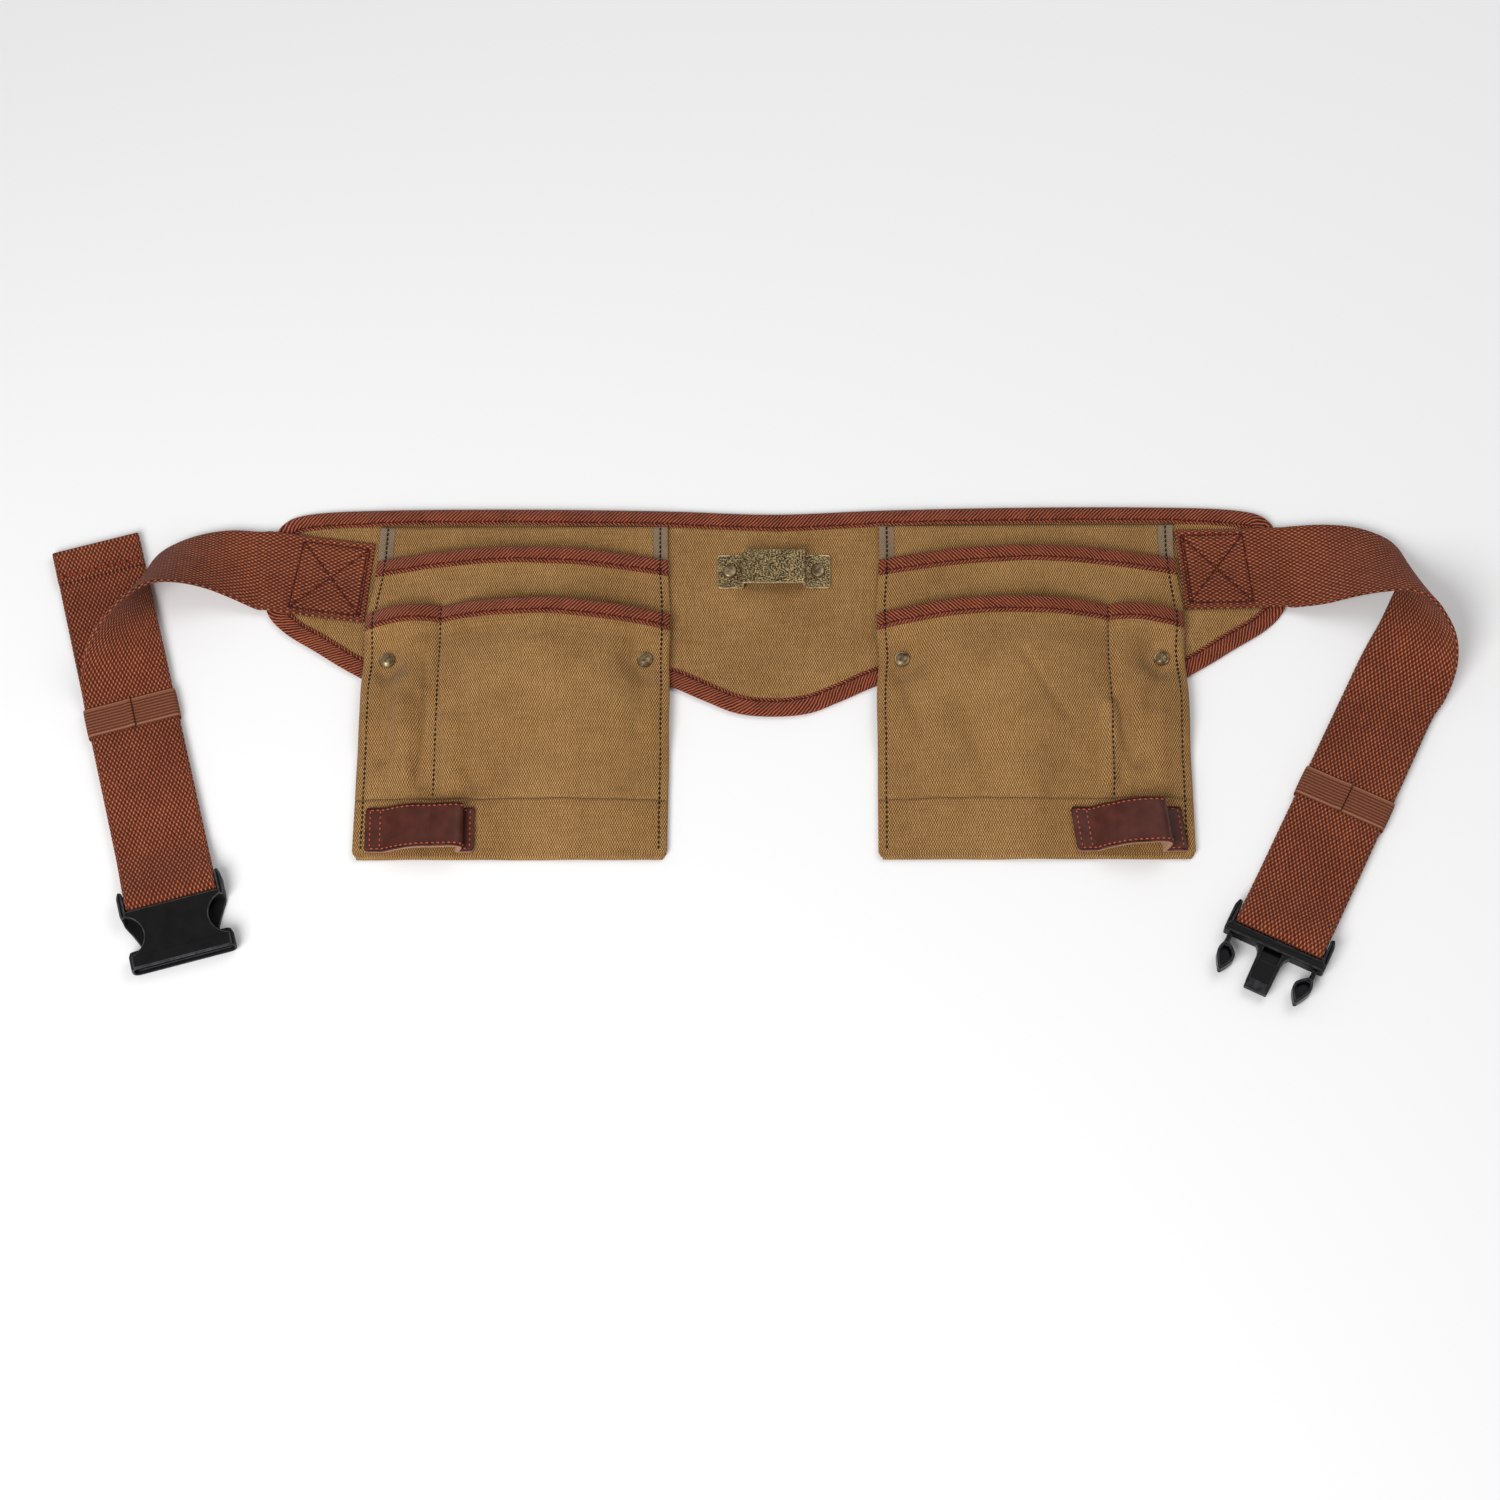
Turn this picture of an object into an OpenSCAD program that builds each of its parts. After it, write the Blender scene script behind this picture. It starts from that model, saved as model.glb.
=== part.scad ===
// Tool belt: a canvas waist panel with two pouches, a brass clip bracket and two webbing
// arms that end in a side-release buckle. It lies flat: +X runs along the belt, +Y points to
// the panel's top edge, +Z points out of its front. The origin is on the panel's underside.

/* [Webbing] */
// Width of the waist webbing
webbing_w = 50; // [48:0.5:50]
// Thickness of the waist webbing
webbing_t = 2; // [1.6:0.1:2]
// Straight stretch of the left arm, from the curl to the buckle's bar
left_run = 126; // [120:1:140]
// Straight stretch of the right arm, from the curl to the buckle's bar
right_run = 155; // [140:1:165]
// Loose tail behind the left arm
left_tail = 225; // [150:1:225]
// Loose tail behind the right arm
right_tail = 120; // [80:1:140]
// Width of each elastic keeper along the webbing
keeper_w = 18; // [14:1:20]

/* [Waist panel] */
// Thickness of one canvas ply of the waist panel
panel_ply = 1.25; // [1:0.05:1.3]
// Visible width of the edge binding
binding_w = 10; // [8:0.5:11]
// Thickness of the binding tape
binding_t = 0.8; // [0.6:0.1:0.8]

/* [Pouches] */
// Distance from the panel's middle to a pouch's inner side
pouch_in = 58; // [56:1:60]
// Width of one pouch
pouch_w = 173; // [168:1:173]
// Height of the seam between a front pocket and the bottom strip
seam_y = -115; // [-120:1:-110]
// Height of a pouch's lower edge
pouch_low = -149; // [-155:1:-145]
// How much narrower a pouch is at its top, all of it on the outer side
pouch_taper = 4; // [3:0.5:5]
// Thickness of the pouch canvas
canvas_t = 1; // [0.8:0.1:1]
// Depth of a rear pocket in the middle of its mouth
rear_depth = 6; // [5:0.5:7]
// Depth of a front pocket in the middle of its wide compartment
front_depth = 9; // [7:0.5:10]
// Share of the width where the divider is sewn, counted from the inner side
divider = 0.75; // [0.7:0.01:0.8]

/* [Bracket] */
// Length of the bracket along the belt
bracket_len = 64; // [60:1:68]
// Width of the bracket across the belt
bracket_w = 21; // [18:1:24]
// Height of the raised bridge above the cloth
bracket_rise = 8; // [6:0.5:9]
// Thickness of the sheet brass
bracket_t = 1.2; // [1:0.1:1.5]

/* [Buckle] */
// Width of the buckle
buckle_w = 58; // [57:0.5:60]
// Thickness of the buckle
buckle_t = 10.8; // [10:0.1:11]
// Length from the webbing bar to the socket's mouth
socket_len = 39.5; // [38:0.5:42]
// Length from the webbing bar to the plug's tongue tip
tongue_len = 36; // [34:0.5:38]

/* [Hidden] */
$fn = 32;
khaki = "#94713f";
rust = "#8c4832";
taupe = "#96826a";
leather = "#552d26";
brass = "#7a6844";
black = "#1c1c1e";
left = -1;
right = 1;
gap = 0.05;

// Heights of the stack: lining, face, then the pouch canvas on top of them
face_z = panel_ply + gap;
panel_z = face_z + panel_ply;
// A pouch rises from the panel onto its lower binding, and comes down to the table past it
climb_high = -18;
climb_low = -28;
drop_high = -68;
drop_low = -92;
strip_rest = 0.1;

// Outline of the right half of the panel, from the middle of the top edge clockwise
half_outline = [[0, 62.5], [64, 65], [150, 66.5], [230, 66], [268, 63.5], [282, 57], [285.5, 45],
    [287, 20], [287.5, 3], [277, -10], [258, -22.5], [236, -36.5], [205, -52], [165, -60],
    [120, -54], [85, -42], [62, -43], [38, -53.5], [20, -61], [0, -63]];

function clamp01(t) = min(1, max(0, t));
function ease(t) = let (c = clamp01(t)) c * c * (3 - 2 * c);
function mix(a, b, t) = a + (b - a) * t;
function unit(v) = v / norm(v);
function lobe(t) = t <= 0 || t >= 1 ? 0 : pow(sin(180 * t), 0.8);

// Catmull-Rom curve through a list of points, with the given steps between two of them
function spline_at(p0, p1, p2, p3, t) = 0.5 * (2 * p1 + (p2 - p0) * t
    + (2 * p0 - 5 * p1 + 4 * p2 - p3) * t * t + (3 * p1 - p0 - 3 * p2 + p3) * t * t * t);
function spline(pts, steps) = let (last = len(pts) - 1) concat(
    [for (i = [0:last - 1], k = [0:steps - 1]) spline_at(pts[max(i - 1, 0)], pts[i],
        pts[i + 1], pts[min(i + 2, last)], k / steps)], [pts[last]]);

// Closed sheet between two surfaces that are functions of (across, along), both 0 to 1
module sheet_solid(across, along, top, bottom) {
    row = along + 1;
    under = (across + 1) * row;
    points = concat(
        [for (i = [0:across], j = [0:along]) top(i / across, j / along)],
        [for (i = [0:across], j = [0:along]) bottom(i / across, j / along)]);
    faces = concat(
        [for (i = [0:across - 1], j = [0:along - 1], k = [0, 1]) let (a = i * row + j)
            k == 0 ? [a, a + 1, a + row + 1] : [a, a + row + 1, a + row]],
        [for (i = [0:across - 1], j = [0:along - 1], k = [0, 1]) let (a = under + i * row + j)
            k == 0 ? [a, a + row + 1, a + 1] : [a, a + row, a + row + 1]],
        [for (i = [0:across - 1], k = [0, 1]) let (a = i * row, b = a + under)
            k == 0 ? [a, a + row, b + row] : [a, b + row, b]],
        [for (i = [0:across - 1], k = [0, 1]) let (a = i * row + along, b = a + under)
            k == 0 ? [a, b + row, a + row] : [a, b, b + row]],
        [for (j = [0:along - 1], k = [0, 1]) let (a = j, b = a + under)
            k == 0 ? [a, b + 1, a + 1] : [a, b, b + 1]],
        [for (j = [0:along - 1], k = [0, 1]) let (a = across * row + j, b = a + under)
            k == 0 ? [a, a + 1, b + 1] : [a, b + 1, b]]);
    polyhedron(points, faces);
}

// Closed sweep of rings that all hold the same number of points; the ends are quads in pairs
module ring_solid(rings, end_quads) {
    n = len(rings[0]);
    last = len(rings) - 1;
    sides = [for (i = [0:last - 1], j = [0:n - 1], k = [0, 1])
        let (a = i * n + j, b = i * n + (j + 1) % n)
            k == 0 ? [a, b, b + n] : [a, b + n, a + n]];
    first_end = [for (q = end_quads, k = [0, 1])
        k == 0 ? [q[2], q[1], q[0]] : [q[3], q[2], q[0]]];
    last_end = [for (q = end_quads, k = [0, 1]) let (o = last * n)
        k == 0 ? [o + q[0], o + q[1], o + q[2]] : [o + q[0], o + q[2], o + q[3]]];
    polyhedron([for (ring = rings) each ring], concat(sides, first_end, last_end));
}

// ---- waist panel ----
module panel_outline() {
    mirrored = [for (i = [len(half_outline) - 2:-1:1]) [-half_outline[i][0], half_outline[i][1]]];
    round_trip = concat([half_outline[0]], [for (i = [1:len(half_outline) - 1]) half_outline[i]],
        mirrored, [half_outline[0]]);
    polygon(spline(round_trip, 4));
}

module yoke_face() {
    color(khaki) translate([0, 0, face_z]) linear_extrude(panel_ply) panel_outline();
}

module yoke_lining() {
    color(khaki) linear_extrude(panel_ply) offset(delta = -binding_w - gap) panel_outline();
}

module panel_binding() {
    slot = panel_ply + 2 * gap;
    color(rust) difference() {
        linear_extrude(panel_z + binding_t) offset(delta = binding_t) panel_outline();
        translate([0, 0, -1]) linear_extrude(10) offset(delta = -binding_w) panel_outline();
        translate([0, 0, panel_ply]) linear_extrude(slot) offset(delta = gap) panel_outline();
    }
}

// ---- brass bracket ----
bracket_y = 26;
bridge_len = 36;
bracket_hole = (bracket_len + bridge_len) / 4;
rivet_post_r = 1.5;

module rivet(cap_r, cap_z, foot_z) {
    rotate_extrude($fn = 40) polygon([[0, foot_z], [3.2, foot_z], [3.2, foot_z + 0.4],
        [rivet_post_r, foot_z + 0.4], [rivet_post_r, cap_z], [cap_r, cap_z], [cap_r, cap_z + 0.9],
        [cap_r * 0.8, cap_z + 1.7], [0, cap_z + 1.9]]);
}

module holder_bracket() {
    base = panel_z + gap;
    color(brass) translate([0, bracket_y, base]) difference() {
        rotate([90, 0, 0]) linear_extrude(bracket_w, center = true) difference() {
            union() {
                translate([-bracket_len / 2, 0]) square([bracket_len, bracket_t]);
                translate([-bridge_len / 2, 0]) square([bridge_len, bracket_rise]);
            }
            translate([-bridge_len / 2 + bracket_t, -1])
                square([bridge_len - 2 * bracket_t, bracket_rise - bracket_t + 1]);
        }
        for (side = [left, right]) translate([side * bracket_hole, 0, -1])
            cylinder(r = rivet_post_r + 0.1, h = bracket_t + 2);
    }
}

module bracket_rivets() {
    color(brass) for (side = [left, right]) translate([side * bracket_hole, bracket_y, 0])
        rivet(3.7, panel_z + gap + bracket_t + gap, 0.1);
}

// ---- pouches ----
rivet_y = -31;
rivet_in = 14;
rear_side_y = 32;
rear_crown_y = 38.5;
front_side_y = -3;
front_crown_y = 1.5;
pouch_top = 53;
taper_low = 2;
taper_high = 32;
mouth_w = 10;

function pouch_x(side, u, y) = side * (pouch_in
    + u * (pouch_w - pouch_taper * ease((y - taper_low) / (taper_high - taper_low))));
function panel_rest(y) = panel_z + gap
    + binding_t * ease((climb_high - y) / (climb_high - climb_low));
function rest_z(y) = mix(strip_rest, panel_rest(y), ease((y - drop_low) / (drop_high - drop_low)));
function pinch(u, y) = let (x = u * pouch_w, a = norm([x - rivet_in, y - rivet_y]),
    b = norm([x - pouch_w + rivet_in, y - rivet_y]))
    (1 - exp(-a * a / 90)) * (1 - exp(-b * b / 90));
function rear_mouth(u) = mix(rear_side_y, rear_crown_y, sin(180 * clamp01(u)));
function front_mouth(u) = mix(front_side_y, front_crown_y, sin(180 * clamp01(u)));
function mouth_lift(mouth_y, y) = (binding_t + 2 * gap) * ease((y - mouth_y + mouth_w + 6) / 5);
function rear_gap(u, y) = gap + mouth_lift(rear_mouth(u), y)
    + rear_depth * lobe(u) * ease((y - pouch_low) / 110) * pinch(u, y);
function compartment(u) = u < divider ? lobe(u / divider)
    : 0.78 * lobe((u - divider) / (1 - divider));
function front_share(y) = y > seam_y ? mix(0.35, 1, ease((y - seam_y) / 100))
    : 0.35 * ease((y - pouch_low) / (seam_y - pouch_low));
function front_gap(u, y) = gap + mouth_lift(front_mouth(u), y)
    + front_depth * compartment(u) * front_share(y) * pinch(u, y);
function back_top(y) = rest_z(y) + canvas_t;
function rear_bottom(u, y) = back_top(y) + rear_gap(u, y);
function front_bottom(u, y) = rear_bottom(u, y) + canvas_t + front_gap(u, y);

// The plies of a pouch share these columns and rows, so that their facets lie on each other
columns = 32;
strip_rows = [pouch_low, -132, seam_y];
body_rows = [-103.5, drop_low, -86, -80, -74, drop_high, -48, climb_low, -23];
back_rows = concat(strip_rows, body_rows, [climb_high, taper_low, 9, 17, 25, taper_high,
    pouch_top]);
rear_rows = concat(strip_rows, body_rows, [climb_high, taper_low, 9]);
front_rows = concat([seam_y + gap], body_rows);

// Row number j of a pocket: the rows listed, then two below its mouth binding and its top edge
function pocket_y(rows, mouth_y, j) = let (n = len(rows)) j < n ? rows[j]
    : mouth_y - (j == n ? mouth_w + 6.5 : j == n + 1 ? mouth_w + 0.5 : binding_t);

// Ordering the samples from the high end of x to the low end keeps every solid right way out
function sample(side, t) = side > 0 ? t : 1 - t;

module pouch_back(side) {
    last = len(back_rows) - 1;
    function y_at(v) = back_rows[round(v * last)];
    function point(t, y, z) = [pouch_x(side, sample(side, t), y), y, z];
    color(khaki) sheet_solid(1, last, function (t, v) point(t, y_at(v), back_top(y_at(v))),
        function (t, v) point(t, y_at(v), rest_z(y_at(v))));
}

module rear_pocket(side) {
    last = len(rear_rows) + 2;
    function point(t, v, lift) = let (u = sample(side, t),
        y = pocket_y(rear_rows, rear_mouth(u), round(v * last)))
        [pouch_x(side, u, y), y, rear_bottom(u, y) + lift];
    color(khaki) sheet_solid(columns, last, function (t, v) point(t, v, canvas_t),
        function (t, v) point(t, v, 0));
}

module front_pocket(side) {
    last = len(front_rows) + 2;
    function point(t, v, lift) = let (u = sample(side, t),
        y = pocket_y(front_rows, front_mouth(u), round(v * last)))
        [pouch_x(side, u, y), y, front_bottom(u, y) + lift];
    color(khaki) sheet_solid(columns, last, function (t, v) point(t, v, canvas_t),
        function (t, v) point(t, v, 0));
}

module pouch_base(side) {
    function y_at(v) = v < 1 ? strip_rows[2 * v] : seam_y - gap;
    function point(t, v, lift) = let (u = sample(side, t), y = y_at(v))
        [pouch_x(side, u, y), y, front_bottom(u, y) + lift];
    color(khaki) sheet_solid(columns, 2, function (t, v) point(t, v, canvas_t),
        function (t, v) point(t, v, 0));
}

// U-shaped tape over the top edge of a pocket panel whose underside is bottom(u, y)
module mouth_binding(side, mouth, bottom) {
    c = canvas_t + gap;
    rings = [for (i = [0:columns]) let (u = sample(side, i / columns), edge = mouth(u),
        inside = edge - binding_t + gap, low = edge - mouth_w, x_low = pouch_x(side, u, low),
        x = pouch_x(side, u, edge), z_low = bottom(u, low), z_top = bottom(u, inside))
        [[x_low, low, z_low + c + binding_t], [x, edge, z_top + c + binding_t],
         [x, edge, z_top - gap - binding_t], [x_low, low, z_low - gap - binding_t],
         [x_low, low, z_low - gap], [x, inside, z_top - gap], [x, inside, z_top + c],
         [x_low, low, z_low + c]]];
    color(rust) ring_solid(rings, [[0, 1, 6, 7], [1, 2, 5, 6], [2, 3, 4, 5]]);
}

module rear_binding(side) {
    mouth_binding(side, function (u) rear_mouth(u), function (u, y) rear_bottom(u, y));
}

module front_binding(side) {
    mouth_binding(side, function (u) front_mouth(u), function (u, y) front_bottom(u, y));
}

module side_tapes(side) {
    tape_w = 9;
    tape_t = 0.6;
    tape_low = rear_side_y + 1.4;
    outer_x = pouch_in + pouch_w - pouch_taper;
    color(taupe) for (x = [pouch_in + tape_w / 2, outer_x - tape_w / 2])
        translate([side * x - tape_w / 2, tape_low, back_top(0) + gap / 2])
            cube([tape_w, pouch_top - tape_low, tape_t]);
}

module pouch_rivets(side) {
    cap_z = front_bottom(rivet_in / pouch_w, rivet_y) + canvas_t + gap;
    color(brass) for (x = [rivet_in, pouch_w - rivet_in])
        translate([side * (pouch_in + x), rivet_y, 0]) rivet(4.3, cap_z, rest_z(rivet_y) + gap);
}

// ---- leather tool loops ----
// Middle line of the loop strap as [along, height]: a flat tab, the arch, a fold back and a tab
loop_w = 25.5;
loop_t = 2.6;
loop_top_y = -121;
loop_gap = 0.4;
left_arch = 9;
right_arch = 14;
function loop_line(rise) = [[0, 0], [6, 0], [11, 0.04 * rise], [18, 0.42 * rise], [28, 0.8 * rise],
    [38, 0.97 * rise], [45, rise], [48.5, 0.82 * rise], [48, 0.45 * rise], [46.5, 0.1 * rise],
    [49, -0.02 * rise], [54, 0], [60, 0]];

module tool_loop(side, start_x, rise) {
    line = spline(loop_line(rise), 3);
    last = len(line) - 1;
    half = loop_t / 2;
    function tangent(i) = unit(line[min(i + 1, last)] - line[max(i - 1, 0)]);
    function base_z(x, y) = let (u = (side * x - pouch_in) / pouch_w)
        front_bottom(u, y) + canvas_t + loop_gap + half;
    function corner(i, y, s) = let (t = tangent(i), p = line[i] + s * half * [-t[1], t[0]])
        [start_x + p[0], y, base_z(start_x + line[i][0], y) + p[1]];
    y_low = loop_top_y - loop_w;
    rings = [for (i = [0:last]) [corner(i, loop_top_y, 1), corner(i, y_low, 1),
        corner(i, y_low, -1), corner(i, loop_top_y, -1)]];
    color(leather) ring_solid(rings, [[0, 1, 2, 3]]);
}

// ---- webbing arms ----
// The arm leaves the panel flat, rolls over on its upper edge and lies face down to the buckle.
// Both edges are listed in the same steps, from the fold line at the panel to the straight run.
fold_x = 292;
fold_gap = 2.2;
anchor_low_x = 232.2;
anchor_slant = 4;
fold_z = 4.5;
run_z = 4.4;
tail_z = 2.1;
bar_z = 5.7;
bar_r = 2.2;
loop_r = bar_z - tail_z;
left_upper = [[-294.2, 52, 4.5], [-310, 53, 4.5], [-325, 51, 4.5], [-339, 46, 4.5],
    [-351, 38, 4.6], [-357, 26, 4.8], [-354, 12, 4.8], [-350, -2, 4.6], [-346, -16, 4.5],
    [-342, -30, 4.4], [-338.5, -43.5, 4.4]];
left_lower = [[-294.2, 3, 4.5], [-308, 7, 11], [-322, 9, 20], [-336, 8, 29], [-348, 4, 36],
    [-359, -5, 40], [-369, -14, 38], [-378, -23, 31], [-385, -33, 21], [-388, -44, 11],
    [-386.5, -57, 4.4]];
right_upper = [[294.2, 53, 4.5], [310, 54, 4.5], [326, 53, 4.5], [340, 49, 4.4], [351, 42, 4.2],
    [356.5, 31, 4], [353, 18, 4], [347, 5, 4], [340.5, -8, 4.2], [333.5, -20, 4.3],
    [327, -32, 4.4], [320.5, -45.2, 4.4]];
right_lower = [[294.2, 2, 4.5], [310, 1, 11], [326, 2, 18], [341, 1.5, 25], [354, -1, 31],
    [365, -8, 34.5], [372, -18, 34], [377.5, -29, 29], [379, -39, 20], [377, -48, 12],
    [372, -58, 6], [365.3, -67.4, 4.4]];
left_start = [-362.5, -50.3];
right_start = [342.9, -56.3];
left_heading = 15.7;
right_heading = -26.3;

function run_start(side) = side < 0 ? left_start : right_start;
function heading(side) = side < 0 ? left_heading : right_heading;
function run_len(side) = side < 0 ? left_run : right_run;
function tail_len(side) = side < 0 ? left_tail : right_tail;
function forward(side) = [sin(heading(side)), -cos(heading(side))];

// Side view of the straight run: along the table, up over the bar, round it and back under
function run_line(side) = let (bar = run_len(side)) concat(
    [[30, run_z], [60, run_z], [bar - 32, run_z], [bar - 26, run_z + 0.3], [bar - 18, run_z + 1.9],
     [bar - 10, run_z + 3.9], [bar - 4, bar_z + loop_r - 0.1]],
    [for (a = [90:-20:-90]) [bar + loop_r * cos(a), bar_z + loop_r * sin(a)]],
    [for (back = [10, 40, 80, tail_len(side)]) [bar - back, tail_z]]);

// One ring of the webbing from its two edge points and the direction it runs in
function web_ring(first, second, dir) = let (n = unit(cross(dir, second - first)) * webbing_t / 2)
    [first + n, first - n, second - n, second + n];

module strap(side, upper, lower) {
    upper_edge = spline(upper, 3);
    lower_edge = spline(lower, 3);
    out = forward(side);
    across = [-out[1], out[0]] * webbing_w / 2;
    line = run_line(side);
    function placed(p, s) = let (q = run_start(side) + p[0] * out + s * across) [q[0], q[1], p[1]];
    firsts = concat(side < 0 ? upper_edge : lower_edge, [for (p = line) placed(p, 1)]);
    seconds = concat(side < 0 ? lower_edge : upper_edge, [for (p = line) placed(p, -1)]);
    last = len(firsts) - 1;
    rings = [for (i = [0:last]) let (a = max(i - 1, 0), b = min(i + 1, last))
        web_ring(firsts[i], seconds[i], firsts[b] + seconds[b] - firsts[a] - seconds[a])];
    color(rust) ring_solid(rings, [[0, 1, 2, 3]]);
}

// The sewn end of an arm: flat on the panel, then up over the edge binding to the fold line
module strap_anchor(side, inner_y, outer_y) {
    over_z = fold_z - webbing_t / 2;
    outer_x = fold_x - fold_gap;
    function low_z(x) = mix(panel_z + gap, over_z, ease((x - 266) / 9));
    function point(t, v, lift) = let (s = sample(side, t),
        x = mix(anchor_low_x - v * anchor_slant, outer_x, s))
        [side * x, mix(inner_y, outer_y, s) + (v - 0.5) * webbing_w, low_z(x) + lift];
    color(rust) sheet_solid(12, 1, function (t, v) point(t, v, webbing_t),
        function (t, v) point(t, v, 0));
}

// Places its children on an arm, with -Y running along the webbing towards the buckle
module on_run(side, along) {
    at = run_start(side) + along * forward(side);
    translate([at[0], at[1], 0]) rotate([0, 0, heading(side)]) children();
}

module keeper(side, along) {
    wall = 0.8;
    half = webbing_w / 2 + 0.5;
    color(rust) on_run(side, along) rotate([90, 0, 0]) linear_extrude(keeper_w, center = true)
        difference() {
            translate([-half - wall, 0]) square([2 * (half + wall), 6.5]);
            translate([-half, wall]) square([2 * half, 6.5 - 2 * wall]);
        }
}

// ---- side-release buckle ----
slot_edge = 5.6;
lug_in = webbing_w / 2 + 0.6;
frame_depth = 5.9;
frame_t = 9;
prong_t = 7;
prong_x = 24.5;

module buckle_bar() {
    rotate([0, 90, 0]) cylinder(r = bar_r, h = 2 * lug_in + 1, center = true);
}

module lugs(back, thick) {
    for (side = [left, right]) translate([side * (lug_in + buckle_w / 2) / 2, 0, 0])
        translate([0, (back - slot_edge) / 2, 0])
            cube([buckle_w / 2 - lug_in, back + slot_edge + 1, thick], center = true);
}

module female_buckle() {
    cavity_w = 52;
    cavity_t = 7.8;
    waist_r = 12;
    color(black) on_run(left, left_run) translate([0, 0, bar_z]) {
        difference() {
            translate([0, 0, -buckle_t / 2]) linear_extrude(buckle_t) difference() {
                translate([-buckle_w / 2, -socket_len])
                    square([buckle_w, socket_len - slot_edge]);
                for (side = [left, right]) translate([side * 30, -20]) circle(r = waist_r);
            }
            translate([-cavity_w / 2, -socket_len - 1, -cavity_t / 2])
                cube([cavity_w, socket_len - slot_edge - 2.5, cavity_t]);
        }
        buckle_bar();
        lugs(7, buckle_t - 1);
    }
}

module male_buckle() {
    tongue_w = 14;
    color(black) on_run(right, right_run) translate([0, 0, bar_z]) {
        translate([-buckle_w / 2, -slot_edge - frame_depth, -frame_t / 2])
            cube([buckle_w, frame_depth, frame_t]);
        translate([-tongue_w / 2, -tongue_len, -3])
            cube([tongue_w, tongue_len - slot_edge - 1, 6]);
        buckle_bar();
        lugs(8, frame_t);
    }
}

// A springy prong: a slim neck that flexes at the frame, and a leaf that snaps into the window
module prong(side) {
    root_y = -slot_edge - frame_depth - 0.5;
    color(black) on_run(right, right_run) translate([0, 0, bar_z - prong_t / 2])
        linear_extrude(prong_t) translate([side * prong_x, root_y]) {
            translate([-1.5, -6]) square([3, 6]);
            hull() {
                translate([-side * 0.5, -6]) circle(r = 2);
                translate([-side * 2.5, -11]) circle(r = 5.6);
                translate([-side * 2.5, -21]) circle(r = 1);
            }
        }
}

left_keeper_at = 12.7;
right_keeper_at = 66;

yoke_face();
yoke_lining();
panel_binding();
holder_bracket();
bracket_rivets();
pouch_back(left);  // left_pouch_back
rear_pocket(left);  // left_rear_pocket
front_pocket(left);  // left_front_pocket
pouch_base(left);  // left_pouch_base
rear_binding(left);  // left_rear_binding
front_binding(left);  // left_front_binding
side_tapes(left);  // left_side_tapes
tool_loop(left, -224, left_arch);  // left_tool_loop
pouch_rivets(left);  // left_pouch_rivets
strap_anchor(left, 19.5, 27.5);  // left_strap_anchor
strap(left, left_upper, left_lower);  // left_strap
keeper(left, left_keeper_at);  // left_keeper
female_buckle();
pouch_back(right);  // right_pouch_back
rear_pocket(right);  // right_rear_pocket
front_pocket(right);  // right_front_pocket
pouch_base(right);  // right_pouch_base
rear_binding(right);  // right_rear_binding
front_binding(right);  // right_front_binding
side_tapes(right);  // right_side_tapes
tool_loop(right, 165, right_arch);  // right_tool_loop
pouch_rivets(right);  // right_pouch_rivets
strap_anchor(right, 26.5, 27.5);  // right_strap_anchor
strap(right, right_upper, right_lower);  // right_strap
keeper(right, right_keeper_at);  // right_keeper
male_buckle();
prong(left);  // inner_prong
prong(right);  // outer_prong
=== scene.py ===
"""Canvas tool belt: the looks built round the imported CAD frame.

Lengths are in millimetres, as in the part's source, and mesh() turns them into metres.
The belt lies flat: +X along it, +Y to the panel's top edge, +Z out of the panel's front.
"""

import math
import random

import bmesh
import bpy
import numpy as np
from mathutils import Matrix, Vector, geometry


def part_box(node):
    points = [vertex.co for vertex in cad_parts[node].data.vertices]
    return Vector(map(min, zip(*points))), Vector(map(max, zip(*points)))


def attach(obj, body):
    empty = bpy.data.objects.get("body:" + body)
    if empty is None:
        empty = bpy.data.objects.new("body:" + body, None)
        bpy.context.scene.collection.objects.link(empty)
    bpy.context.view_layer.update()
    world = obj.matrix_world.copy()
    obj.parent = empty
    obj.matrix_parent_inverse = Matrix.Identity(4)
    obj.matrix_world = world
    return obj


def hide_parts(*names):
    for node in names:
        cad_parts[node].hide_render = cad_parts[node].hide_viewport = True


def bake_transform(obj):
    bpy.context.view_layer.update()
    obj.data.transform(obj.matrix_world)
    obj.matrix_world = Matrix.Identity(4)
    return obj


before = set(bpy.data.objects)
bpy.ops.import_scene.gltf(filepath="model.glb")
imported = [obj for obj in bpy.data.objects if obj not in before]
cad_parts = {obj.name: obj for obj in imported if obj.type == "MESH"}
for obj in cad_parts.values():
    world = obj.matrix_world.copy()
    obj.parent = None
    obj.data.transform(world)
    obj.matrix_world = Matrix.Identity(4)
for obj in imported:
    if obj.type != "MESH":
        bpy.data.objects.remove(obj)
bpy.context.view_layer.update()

MM = 0.001
LEFT, RIGHT = -1, 1
SIDE_NAME = {LEFT: "left", RIGHT: "right"}


# ---- curves and sums ----
def ease(t):
    c = np.clip(t, 0, 1)
    return c * c * (3 - 2 * c)


def mix(a, b, t):
    return a + (b - a) * t


def unit(v):
    return v / np.maximum(np.linalg.norm(v, axis=-1, keepdims=True), 1e-9)


def spline(points, steps):
    """Catmull-Rom curve through the points, with that many steps between two of them."""
    p = np.array(points, float)
    p = np.concatenate([2 * p[:1] - p[1:2], p, 2 * p[-1:] - p[-2:-1]])
    t = (np.arange(steps) / steps)[:, None]
    pieces = []
    for a, b, c, d in zip(p, p[1:], p[2:], p[3:]):
        pieces.append(0.5 * (2 * b + (c - a) * t + (2 * a - 5 * b + 4 * c - d) * t**2
                             + (3 * b - a - 3 * c + d) * t**3))
    return np.concatenate([*pieces, p[-2:-1]])


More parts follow.
